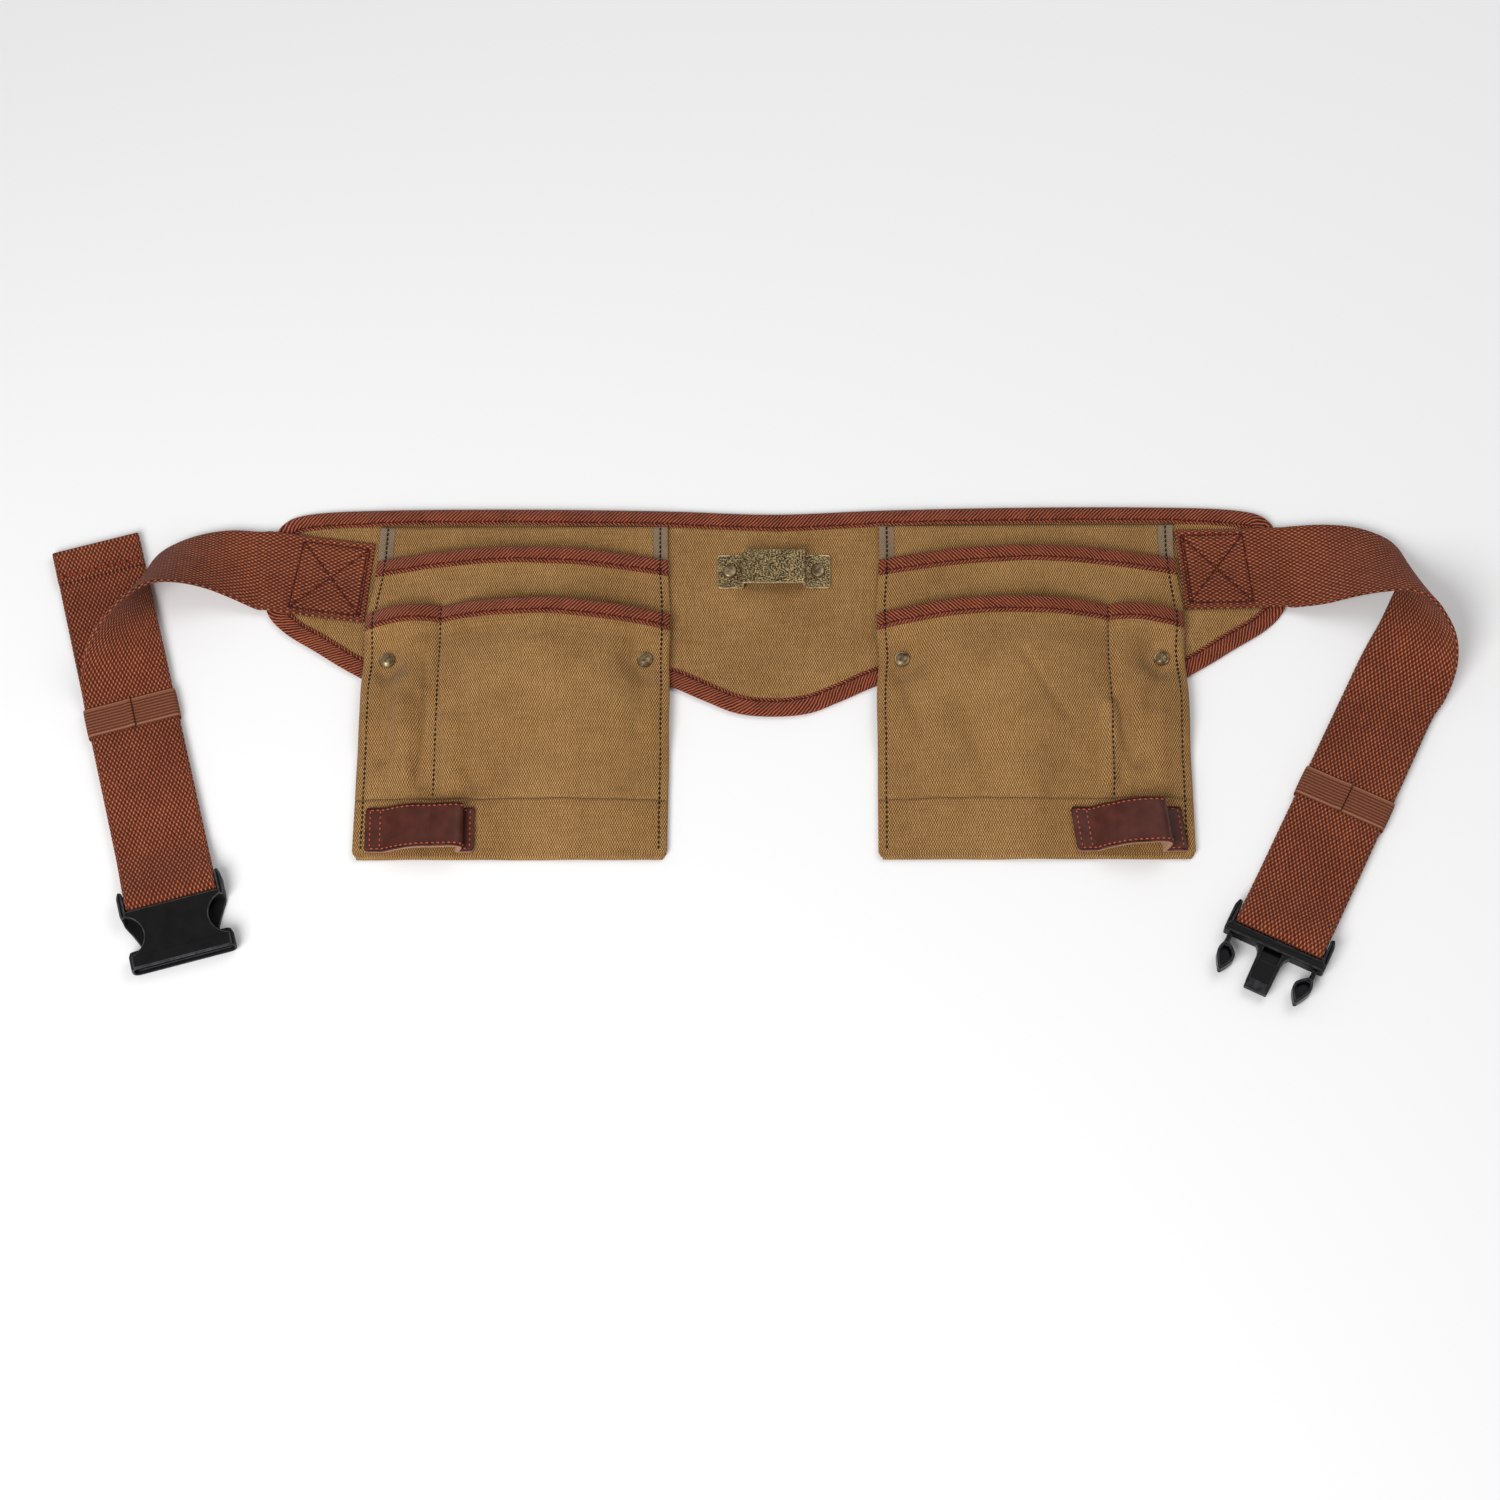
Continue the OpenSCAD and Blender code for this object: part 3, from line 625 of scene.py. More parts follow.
def panel_binding():
    """Tape folded over the panel's edge and sewn through, with its two rows of stitches."""
    outline = panel_outline(1.6)
    normals = outward(outline)
    wander = 0.25 * ripple(outline[:, 0], outline[:, 1], 17, 3.0)
    rings = np.zeros((len(outline), len(BINDING_PROFILE), 3))
    for k, (inset, z) in enumerate(BINDING_PROFILE):
        flat = outline - normals * (inset + wander * (inset > 6))[:, None]
        swell = over_pouch(flat[:, 0], flat[:, 1]) * (z > 2.4) * (inset > 0.5)
        rings[:, k, :2] = flat
        rings[:, k, 2] = z + swell + 0.12 * ripple(flat[:, 0], flat[:, 1], 9, 5.0) * (z > 2.4)
    tape = sweep("panel_binding_tape", rings, TAPE, closed=True)
    riding(tape, "belt", "panel_binding")
    runs = []
    for z, up in ((3.12, 1.0), (0.34, -1.0)):
        line = outline - normals * (BINDING_ROW + wander)[:, None]
        height = z + (over_pouch(line[:, 0], line[:, 1]) if up > 0 else 0)
        points = np.column_stack([line, np.broadcast_to(height, len(line))])
        points = np.concatenate([points, points[:1]])
        runs.append(facing(points, up))
    sewn = stitches("panel_binding_stitches", runs, MAROON_THREAD, pitch=2.9, radius=0.42,
                    share=0.66)
    riding(sewn, "belt")
    return tape, sewn


# ---- pouches ----
SEAM_Y, POUCH_LOW, POUCH_TOP = -115, -149, 55.2
CANVAS_T = 1.0
GAP = 0.05
REAR_DEPTH, FRONT_DEPTH = 6, 9
DIVIDER = 0.75
RIVET_Y, RIVET_IN, RIVET_FLAT = -31, 14, 5
MOUTH_W = 10
CORNER_R = 4.5
REAR_MOUTH = (32, 38.5)
FRONT_MOUTH = (-3, 1.5)
SIDE_SEAM = 4.7
# How far each pouch's inner and outer sides draw in towards its top
TAPER = {LEFT: (2.6, 5.2), RIGHT: (1.5, 3.4)}
# Creases in the front canvas: corners as (distance from the inner side, y), width and depth;
# a negative depth is a ridge
CREASES = {
    LEFT: [([(158, -40), (159, -90)], 6, 2.0), ([(139, -30), (132, -56)], 5, 1.6),
           ([(133, -58), (134, -84), (137, -104)], 5, 3.4), ([(147, -62), (146, -100)], 6.5, -2.8),
           ([(121, -74), (118, -104)], 8, -2.2), ([(14, -38), (18, -74)], 6, 1.6),
           ([(52, -48), (76, -84), (104, -108)], 9, 1.6), ([(30, -60), (44, -100)], 11, -1.4),
           ([(98, -40), (92, -80)], 14, -1.2), ([(103, -110), (113, -97)], 4, 1.4)],
    RIGHT: [([(14, -40), (25, -76)], 6.5, 1.9), ([(80, -30), (94, -52), (104, -68)], 3.5, 1.3),
            ([(48, -60), (62, -106)], 8, 1.5), ([(34, -76), (30, -104)], 9, -1.6),
            ([(135, -56), (139, -76), (143, -92)], 5, 4.6), ([(134, -104), (135, -110)], 3, 2.0),
            ([(129, -62), (130, -80), (128, -104)], 4.5, -3.6),
            ([(157, -70), (155, -104)], 6, -2.0), ([(158, -40), (150, -60)], 5, 1.8),
            ([(95, -110), (107, -95)], 5, 1.4), ([(76, -60), (80, -96)], 12, -1.2)]}


def lobe(t, power=0.8):
    """Rises from 0 to 1 and back as t goes from 0 to 1."""
    return np.sin(np.pi * np.clip(t, 0, 1)) ** power


def mouth(heights, u):
    """y of a pocket's arched mouth, from its height at the sides and in the middle."""
    return mix(heights[0], heights[1], np.sin(np.pi * np.clip(u, 0, 1)))


def pinch(u, y):
    """0 at the two rivets, 1 away from them."""
    x = u * POUCH_W
    a, b = (np.maximum(np.hypot(x - rivet, y - RIVET_Y) - RIVET_FLAT, 0) ** 2
            for rivet in (RIVET_IN, POUCH_W - RIVET_IN))
    return (1 - np.exp(-a / 90)) * (1 - np.exp(-b / 90))


def rest_z(y):
    """Height of a pouch's underside: on the panel at the top, near the table further down."""
    on_panel = 2.6 + 0.8 * ease((-18 - y) / 10)
    return mix(0.1, on_panel, ease((y + 92) / 24))


def compartment(u):
    """How full the front pocket is across its width, with nothing at the divider."""
    wide = lobe(u / DIVIDER, 0.66)
    narrow = 0.82 * lobe((u - DIVIDER) / (1 - DIVIDER), 0.66)
    return np.where(u < DIVIDER, wide, narrow)


def front_share(y):
    """How much of that fullness is left at y."""
    above = mix(0.35, 1, ease((y - SEAM_Y) / 100))
    below = 0.35 * ease((y - POUCH_LOW) / (SEAM_Y - POUCH_LOW))
    return np.where(y > SEAM_Y, above, below)


def mouth_lift(heights, u, y):
    """Room between the plies for the tape folded over a mouth."""
    return (0.8 + 2 * GAP) * ease((y - mouth(heights, u) + MOUTH_W + 6) / 5)


def polyline_distance(x, y, corners):
    """Distance of each (x, y) from the line through the corners."""
    nearest = np.full(np.broadcast(x, y).shape, 999.0)
    for (ax, ay), (bx, by) in zip(corners, corners[1:]):
        dx, dy = bx - ax, by - ay
        t = np.clip(((x - ax) * dx + (y - ay) * dy) / (dx**2 + dy**2), 0, 1)
        nearest = np.minimum(nearest, np.hypot(x - ax - t * dx, y - ay - t * dy))
    return nearest


class Pouch:
    """One pouch's surfaces. u runs from 0 at its inner side to 1 at its outer side."""

    def __init__(self, side):
        self.side = side
        self.seed = 3.0 + side

    def sides(self, y):
        """Distances of the pouch's two sides from the panel's middle at y."""
        below = np.clip(CORNER_R - (y - POUCH_LOW), 0, CORNER_R)
        corner = CORNER_R - np.sqrt(CORNER_R**2 - below**2)
        pulled = 0.9 * np.exp(-((y - RIVET_Y) / 14) ** 2) + 0.4 * ripple(y, y * 0.3, 23, self.seed)
        trim = corner + np.clip(pulled, -0.3, 1.2)
        inner, outer = TAPER[self.side]
        high = ease((y + 8) / 40)
        return POUCH_IN + trim + inner * high, POUCH_IN + POUCH_W - trim - outer * high

    def x(self, u, y):
        inner, outer = self.sides(y)
        return self.side * mix(inner, outer, u)

    def u(self, x, y):
        inner, outer = self.sides(y)
        return (self.side * x - inner) / (outer - inner)

    def back(self, u, y):
        return rest_z(y) + CANVAS_T / 2

    def rear(self, u, y):
        """The rear pocket's canvas, which sags where the front pocket's mouth gapes."""
        above = y - mouth(FRONT_MOUTH, u) - 1.5
        return self.rear_full(u, y) - 4.6 * np.exp(-((above / 3.8) ** 2)) * lobe((u - 0.12) / 0.6)

    def rear_full(self, u, y):
        """The rear pocket's canvas before it sags."""
        gap = GAP + mouth_lift(REAR_MOUTH, u, y)
        gap = gap + REAR_DEPTH * lobe(u) * ease((y - POUCH_LOW) / 110) * pinch(u, y)
        folds = 0.35 * ripple(u * POUCH_W, y, 19, self.seed) * lobe(u)
        return self.back(u, y) + CANVAS_T + gap + np.clip(folds, -gap * 0.5, 1)

    def front(self, u, y):
        gap = GAP + mouth_lift(FRONT_MOUTH, u, y)
        gap = gap + FRONT_DEPTH * compartment(u) * front_share(y) * pinch(u, y)
        return self.rear_full(u, y) + CANVAS_T + gap + self.folds(u, y, gap)

    def folds(self, u, y, gap):
        """Slack in the front canvas: creases, puckers at the divider, the sides and the seam."""
        x = u * POUCH_W
        slack = compartment(u) * pinch(u, y)
        bend = 0.8 * ripple(x + 0.4 * y, y, 21, self.seed + 1) * slack
        for corners, width, depth in CREASES[self.side]:
            q = polyline_distance(x, y, corners) / width
            bend = bend - 1.2 * depth * (1 - 0.4 * q**2) * np.exp(-(q**2))
        beside = np.exp(-((x - DIVIDER * POUCH_W) / 9) ** 2) * slack
        bend = bend + 0.4 * beside * np.sin(y / 3.1 + np.sin(y / 7.7))
        drawn = np.exp(-((y - SEAM_Y) / 7) ** 2)
        bend = bend + drawn * slack * (0.3 * np.sin(x / 4.1) + 0.3 * np.sin(x / 9.7 + 2))
        bend = bend - 0.55 * np.exp(-((y - SEAM_Y) / 1.4) ** 2) - self.side_groove(x)
        return np.maximum(bend, -0.8 * gap - 0.35)

    def side_groove(self, x):
        """The stitches down each side pull the canvas in."""
        nearest = np.minimum(np.abs(x - SIDE_SEAM), np.abs(POUCH_W - SIDE_SEAM - x))
        return 0.3 * np.exp(-((nearest / 1.3) ** 2))

    def skin(self, x, y):
        """Height of whatever lies on top of the pouch at (x, y)."""
        u = self.u(x, y)
        front_edge, rear_edge = mouth(FRONT_MOUTH, u), mouth(REAR_MOUTH, u)
        half, tape = CANVAS_T / 2, TAPE_T + 0.05
        front = self.front(u, np.minimum(y, front_edge)) + half
        front = front + tape * (y > front_edge - MOUTH_W)
        rear = self.rear(u, np.minimum(y, rear_edge)) + half
        rear = rear + tape * (y > rear_edge - MOUTH_W)
        top = self.back(u, y) + half + tape
        return np.where(y < front_edge, front, np.where(y < rear_edge, rear, top))


def canvas_rows(low, high, pitch):
    return np.linspace(low, high, round((high - low) / pitch) + 1)


def pocket_grid(pouch, layer, low, heights, pitch=2.2, columns=96):
    """Middle surface of one pouch ply from y = low up to its mouth, as grid[along, across]."""
    u = np.linspace(0, 1, columns + 1)[None, :]
    top = mouth(heights, u) - TAPE_T if heights else np.full_like(u, POUCH_TOP)
    share = canvas_rows(0, 1, pitch / (top.max() - low))[:, None]
    y = mix(low, top, share)
    full_u = np.broadcast_to(u, y.shape)
    return np.stack([pouch.x(full_u, y), y, layer(full_u, y)], axis=2)


def pouch_canvas(pouch):
    name = SIDE_NAME[pouch.side]
    back = shell(f"{name}_back_canvas", pocket_grid(pouch, pouch.back, POUCH_LOW + 1.2, None),
                 CANVAS_T, CANVAS)
    rear = shell(f"{name}_rear_canvas", pocket_grid(pouch, pouch.rear, POUCH_LOW + 0.8, REAR_MOUTH),
                 CANVAS_T, CANVAS)
    front = shell(f"{name}_front_canvas",
                  pocket_grid(pouch, pouch.front, SEAM_Y + 0.15, FRONT_MOUTH, 1.6, 128),
                  CANVAS_T, CANVAS)
    u = np.linspace(0, 1, 129)[None, :]
    y = np.concatenate([canvas_rows(POUCH_LOW + 0.6, POUCH_LOW + 5, 0.55),
                        canvas_rows(POUCH_LOW + 6, SEAM_Y - 0.15, 1.6)])[:, None]
    full_u, full_y = np.broadcast_arrays(u, y)
    strip = np.stack([pouch.x(full_u, full_y), full_y, pouch.front(full_u, full_y)], axis=2)
    turned = strip[:1].repeat(3, axis=0)
    for row, (drop, out) in enumerate(((2.2, 0.5), (1.2, 0.75), (0.4, 0.45))):
        turned[row, :, 1] -= out
        turned[row, :, 2] -= drop
    base = shell(f"{name}_base_canvas", np.concatenate([turned, strip]), CANVAS_T, CANVAS)
    for piece, node in ((back, "pouch_back"), (rear, "rear_pocket"), (front, "front_pocket"),
                        (base, "pouch_base")):
        riding(piece, "belt", f"{name}_{node}")
    return back, rear, front, base


# Cross-section of the tape on a pocket's mouth, as (distance below its edge, height)
MOUTH_PROFILE = [(10.0, 0.55), (9.9, 1.0), (9.2, 1.3), (8.3, 1.28), (7.6, 0.8), (6.8, 1.3),
                 (5, 1.42), (2, 1.34), (0.5, 1.1), (-0.2, 0.5), (-0.2, -0.5), (0.5, -1.1),
                 (2, -1.25), (5, -1.25), (9.2, -1.25), (9.9, -1.0), (10.0, -0.55), (5, -0.55),
                 (1.2, -0.5), (0.75, 0.0), (1.2, 0.5), (5, 0.56)]
MOUTH_ROW = 7.6


def mouth_binding(pouch, layer, heights, name):
    """Tape folded over a pocket's mouth, and the run that its stitches follow."""
    u = np.linspace(0, 1, 145)
    edge = mouth(heights, u)
    rings = np.zeros((len(u), len(MOUTH_PROFILE), 3))
    wander = 0.2 * ripple(u * POUCH_W, edge, 13, 2.0)
    for k, (down, rise) in enumerate(MOUTH_PROFILE):
        y = edge - down - wander * (down > 6)
        inside_y = np.minimum(y, edge - TAPE_T)
        rings[:, k, 0] = pouch.x(u, y)
        rings[:, k, 1] = y
        rings[:, k, 2] = layer(u, inside_y) + rise
    tape = sweep(f"{SIDE_NAME[pouch.side]}_{name}_binding_tape", rings, TAPE)
    riding(tape, "belt", f"{SIDE_NAME[pouch.side]}_{name}_binding")
    inner = (u > 0.01) & (u < 0.99)
    y = edge[inner] - MOUTH_ROW - wander[inner]
    line = np.stack([pouch.x(u[inner], y), y, layer(u[inner], y) + 1.05], axis=1)
    return tape, facing(line)


def side_tapes(pouch):
    """Seam tape inside each side of the open back, folded so that two strips of it show."""
    name = SIDE_NAME[pouch.side]
    made = []
    for word, inner in (("inner", 0.0), ("outer", 1.0)):
        sign = 1 if inner == 0 else -1
        for layer, (start, stop, lift) in enumerate(((0.6, 9.0, 0.0), (0.2, 4.3, 0.5))):
            y = canvas_rows(REAR_MOUTH[0] + 0.6, 54.6, 1.2)[:, None]
            place = np.linspace(start, stop, 9)[None, :]
            full_y, full_place = np.broadcast_arrays(y, place)
            u = inner + sign * full_place / POUCH_W
            x = pouch.x(u, full_y) + 0.15 * ripple(full_y, full_place, 5, inner + layer)
            z = pouch.back(u, full_y) + CANVAS_T / 2 + 0.3 + lift
            grid = np.stack([x, full_y, z], axis=2)
            made.append(shell(f"{name}_{word}_seam_tape_{layer}", grid, 0.5, TWILL))
    riding(made[0], "belt", f"{name}_side_tapes")
    for piece in made[1:]:
        riding(piece, "belt")


def pouch_stitches(pouch):
    """Dark topstitching down both sides and the divider."""
    name = SIDE_NAME[pouch.side]
    runs = []
    for u in (SIDE_SEAM / POUCH_W, 1 - SIDE_SEAM / POUCH_W):
        y = canvas_rows(POUCH_LOW + 4, 54, 1.0)[::-1]
        corners = list(zip(pouch.x(u, y), y))
        runs.append(draped(pouch.skin, corners, 1.0, 0.05))
    y = canvas_rows(SEAM_Y + 1, mouth(FRONT_MOUTH, DIVIDER), 1.0)[::-1]
    runs.append(draped(pouch.skin, list(zip(pouch.x(DIVIDER, y), y)), 1.0, 0.05))
    sewn = stitches(f"{name}_pouch_stitches", runs, DARK_THREAD, pitch=2.9, radius=0.5, share=0.6)
    riding(sewn, "belt")


RIVET_PROFILE = [(4.2, 0), (4.4, 0.4), (4.4, 1.0), (4.2, 1.4), (3.9, 1.45), (3.5, 1.1),
                 (3.2, 1.75), (2.5, 2.25), (1.4, 2.5), (0.02, 2.6)]


def pouch_rivets(pouch):
    name = SIDE_NAME[pouch.side]
    centres = []
    for place in (RIVET_IN, POUCH_W - RIVET_IN):
        u = place / POUCH_W
        z = pouch.front(u, RIVET_Y) + CANVAS_T / 2 - 0.1
        centres.append((pouch.side * (POUCH_IN + place), RIVET_Y, float(z)))
    caps = lathe(f"{name}_rivet_caps", RIVET_PROFILE, centres, RIVET)
    riding(caps, "belt", f"{name}_pouch_rivets")


# ---- leather tool loops ----
LOOP_W, LOOP_T, LOOP_TOP = 25.5, 2.6, -121


def loop_line(rise, fold):
    """Middle line of a loop as (along, height); the arch folds back down at `fold`."""
    return [(0, 0), (6, 0), (11, 0.04 * rise), (18, 0.42 * rise), (28, 0.8 * rise),
            (fold - 10, 0.97 * rise), (fold - 3, rise), (fold + 0.5, 0.82 * rise),
            (fold, 0.45 * rise), (fold - 1.5, 0.1 * rise), (fold + 0.5, -0.02 * rise),
            (fold + 4, 0), (60, 0)]


def corner_trim(radius, to_end):
    """How far a side draws in at a rounded corner, this far from the end."""
    near = np.clip(radius - to_end, 0, radius)
    return radius - np.sqrt(radius**2 - near**2)


def tool_loop(pouch, start_x, rise, fold, lean):
    """A leather strap sewn down at both ends, arched between them, with its orange thread."""
    name = SIDE_NAME[pouch.side]
    line = resample(spline(loop_line(rise, fold), 10), 0.7)
    columns, inset = 29, 2
    t = np.linspace(0, 1, columns)[None, :]
    along, high = line[:, 0][:, None], line[:, 1][:, None]
    s = lengths(line)[:, None]
    trim = corner_trim(1.6, np.minimum(s, s[-1] - s))
    y = LOOP_TOP - mix(trim, LOOP_W - trim, t)
    x = start_x + along + lean * (LOOP_TOP - LOOP_W / 2 - y)
    base = pouch.front(pouch.u(x, y), y) + CANVAS_T / 2 + 0.15 + LOOP_T / 2
    edge_lift = 0.3 * (2 * t - 1) ** 2 * lobe(s / s[-1])
    grid = np.stack([x, y, base + high - edge_lift], axis=2)
    strap = shell(f"{name}_loop_leather", grid, LOOP_T, LEATHER, SQUARE)
    riding(strap, "belt", f"{name}_tool_loop")
    up = sheet_normals(grid)
    face = grid + up * (LOOP_T / 2 + 0.02)
    rows = [2.2, 7.8, float(s[-1, 0]) - 2.2]
    first, second, last = (int(row) for row in np.searchsorted(s[:, 0], rows))
    runs = [(face[first:last, j], up[first:last, j]) for j in (inset, columns - 1 - inset)]
    for i in (first, second, last):
        runs.append((face[i, inset:columns - inset], up[i, inset:columns - inset]))
    sewn = stitches(f"{name}_loop_stitches", runs, ORANGE_THREAD, pitch=2.9, radius=0.42)
    riding(sewn, "belt")


# ---- brass bracket ----
BRACKET_Y, BRACKET_W, BRACKET_T = 26, 21, 1.2
BRACKET_HALF, BRIDGE_HALF, BRIDGE_RISE = 32, 18, 8


def bracket():
    """Sheet brass bent into a bridge between two riveted plates."""
    half = BRACKET_T / 2
    wall = BRIDGE_HALF - half
    profile = [(-BRACKET_HALF, 0), (-26, 0), (-wall - 1.6, 0), (-wall - 0.5, 0.25), (-wall, 1.2),
               (-wall, BRIDGE_RISE - 2.4), (-wall + 0.35, BRIDGE_RISE - 1.45),
               (-wall + 1.3, BRIDGE_RISE - BRACKET_T), (-12, BRIDGE_RISE - BRACKET_T + 0.1),
               (0, BRIDGE_RISE - BRACKET_T + 0.2)]
    profile += [(-x, z) for x, z in profile[-2::-1]]
    line = resample(spline(profile, 6), 0.5)
    t = np.linspace(0, 1, 25)[None, :]
    x = line[:, 0][:, None]
    y = BRACKET_Y + (2 * t - 1) * (BRACKET_W / 2 - corner_trim(1.8, BRACKET_HALF - np.abs(x)))
    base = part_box("holder_bracket")[1].z / MM - BRIDGE_RISE + half
    grid = np.stack(np.broadcast_arrays(x, y, base + line[:, 1][:, None]), axis=2)
    plate = shell("bracket_plate", grid[:, ::-1], BRACKET_T, BRACKET, SQUARE)
    riding(plate, "belt", "holder_bracket")
    foot = base + half
    where = (BRACKET_HALF + BRIDGE_HALF) / 2
    heads = [(side * where, BRACKET_Y, foot) for side in (LEFT, RIGHT)]
    profile = [(3.9, 0.0), (4.0, 0.35), (3.95, 1.1), (3.7, 1.5), (3.3, 1.78), (3.0, 1.85),
               (1.2, 1.92), (0.02, 1.92)]
    caps = lathe("bracket_rivet_heads", profile, heads, RIVET)
    riding(caps, "belt", "bracket_rivets")
    backs = [(side * where, BRACKET_Y, 0.08) for side in (LEFT, RIGHT)]
    washer = [(0.02, 0), (2.6, 0), (3.2, 0.15), (3.2, 0.6), (0.02, 0.6)]
    riding(lathe("bracket_rivet_backs", washer, backs, RIVET), "belt")


# ---- webbing arms ----
WEBBING_W, WEBBING_T = 50, 2
# The webbing's two edges where it rolls over, between the panel and the straight run
UPPER = {
    LEFT: [(-294.2, 52, 4.5), (-310, 53, 4.5), (-325, 51, 4.5), (-339, 46, 4.5), (-351, 38, 4.6),
           (-357, 26, 4.8), (-354, 12, 4.8), (-350, -2, 4.6), (-346, -16, 4.5),
           (-342, -30, 4.4), (-338.5, -43.5, 4.4)],
    RIGHT: [(294.2, 53, 4.5), (310, 54, 4.5), (326, 53, 4.5), (340, 49, 4.4), (351, 42, 4.2),
            (356.5, 31, 4), (353, 18, 4), (347, 5, 4), (340.5, -8, 4.2), (333.5, -20, 4.3),
            (327, -32, 4.4), (320.5, -45.2, 4.4)]}
LOWER = {
    LEFT: [(-294.2, 3, 4.5), (-308, 7, 11), (-322, 9, 20), (-336, 8, 29), (-348, 4, 36),
           (-359, -5, 40), (-369, -14, 38), (-378, -23, 31), (-385, -33, 21), (-388, -44, 11),
           (-386.5, -57, 4.4)],
    RIGHT: [(294.2, 2, 4.5), (310, 1, 11), (326, 2, 18), (341, 1.5, 25), (354, -1, 31),
            (365, -8, 34.5), (372, -18, 34), (377.5, -29, 29), (379, -39, 20), (377, -48, 12),
            (372, -58, 6), (365.3, -67.4, 4.4)]}
# The straight run: its start, direction, length to the buckle's bar, and tail behind that bar
RUN_START = {LEFT: (-362.5, -50.3), RIGHT: (342.9, -56.3)}
HEADING = {LEFT: math.radians(15.7), RIGHT: math.radians(-26.3)}
RUN = {LEFT: 126, RIGHT: 155}
TAIL = {LEFT: 225, RIGHT: 120}
ANCHOR_Y = {LEFT: (19.5, 27.5), RIGHT: (26.5, 27.5)}
# The sewn end's middle surface, as (distance from the panel's middle, height)
ANCHOR_LINE = [(232.4, 3.6), (240, 3.6), (248, 3.6), (256, 3.6), (264, 3.6), (270, 4.0),
               (275, 4.45), (282, 4.5), (289, 4.5)]
ANCHOR_IN, ANCHOR_OUT, ANCHOR_SLANT = 232.4, 289.8, 4
# Where each elastic keeper sits along the run, from the run's start, and how wide its band is
KEEPER_AT, KEEPER_W = {LEFT: 12.7, RIGHT: 66}, 18
# Heights of the run's middle surface, of the tail's under it and of the buckle's bar, and the
# radius of the webbing's turn round that bar
RUN_Z, TAIL_Z, BAR_Z, TURN_R = 4.4, 2.1, 5.7, 3.6
HEM = 20
ROW = 1.9


def forward(side):
    return np.array([math.sin(HEADING[side]), -math.cos(HEADING[side])])


def run_place(side, along, across, z):
    """Points at (along the run from its start, across it, height)."""
    out = forward(side)
    aside = np.array([-out[1], out[0]])
    flat = np.array(RUN_START[side]) + np.multiply.outer(along, out)
    flat = flat + np.multiply.outer(across, aside)
    return np.concatenate([flat, z[..., None]], axis=-1)


def run_line(side):
    """Side view of the run: along the table, over the bar, back under, and the tail's hem."""
    bar = RUN[side]
    line = [(30, RUN_Z), (58, RUN_Z), (bar - 50, RUN_Z), (bar - 40, RUN_Z), (bar - 32, RUN_Z),
            (bar - 26, RUN_Z + 0.3), (bar - 18, RUN_Z + 1.9), (bar - 10, RUN_Z + 3.9),
            (bar - 4, BAR_Z + 3.5)]
    turn = np.radians(np.arange(90, -91, -20))
    line += [(bar + TURN_R * math.cos(a), BAR_Z + TURN_R * math.sin(a)) for a in turn]
    end = bar - TAIL[side]
    line += [(bar - x, TAIL_Z) for x in (8, 20, 38)]
    line += [(x, TAIL_Z) for x in np.linspace(bar - 60, end + 30, 6)]
    line += [(end + x, TAIL_Z) for x in (16, 8, 4, 1.4)]
    if side == LEFT:
        line += [(end + 0.4, TAIL_Z + 0.35), (end, TAIL_Z + 1.1), (end + 0.4, TAIL_Z + 1.85),
                 (end + 1.6, TAIL_Z + 2.15), (end + 8, TAIL_Z + 2.1), (end + HEM, TAIL_Z + 2.1)]
    return line


def arm_edges(side):
    """Both edges of one arm's webbing, from its sewn end on the panel to the end of its tail."""
    inner_y, outer_y = ANCHOR_Y[side]
    upper, lower = [], []
    for x, z in ANCHOR_LINE:
        t = (x - ANCHOR_IN) / (ANCHOR_OUT - ANCHOR_IN)
        middle = mix(inner_y, outer_y, t)
        upper_x = mix(ANCHOR_IN - ANCHOR_SLANT, ANCHOR_OUT, t)
        upper.append((side * upper_x, middle + WEBBING_W / 2, z))
        lower.append((side * x, middle - WEBBING_W / 2, z))
    along, z = np.array(run_line(side)).T
    half = np.full(len(z), side * WEBBING_W / 2)
    upper += [*UPPER[side], *run_place(side, along, -half, z)]
    lower += [*LOWER[side], *run_place(side, along, half, z)]
    return spline(upper, 8), spline(lower, 8)


def webbing_arm(side):
    name = SIDE_NAME[side]
    upper, lower = arm_edges(side)
    upper, lower = resample_by(upper, lower, ROW / 4)
    t = np.linspace(0, 1, 41)[None, :, None]
    grid = upper[:, None] * (1 - t) + lower[:, None] * t
    sewn = (np.abs(grid[..., 0]) < ANCHOR_OUT) & (grid[..., 1] > -8)
    seams = [polyline_distance(*grid[sewn][:, :2].T, seam) for seam in anchor_seams(side)]
    grid[sewn, 2] -= 0.4 * np.exp(-(np.min(seams, axis=0) / 1.3) ** 2)
    strap = shell(f"{name}_webbing", grid, WEBBING_T, WEBBING, scallop=0.22, pitch=ROW)
    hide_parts(f"{name}_strap_anchor", f"{name}_strap")
    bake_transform(strap)


def resample_by(upper, lower, pitch):
    """Both edges, evenly spaced along their middle line."""
    s = lengths((upper + lower) / 2)
    steps = np.linspace(0, s[-1], round(s[-1] / pitch) + 1)
    return (np.stack([np.interp(steps, s, line[:, k]) for k in range(3)], axis=1)
            for line in (upper, lower))


# Outer corners of the stitched box, lower and upper, as distances from the panel's middle
BOX_OUT = {LEFT: (275.4, 269), RIGHT: (270.6, 266.4)}


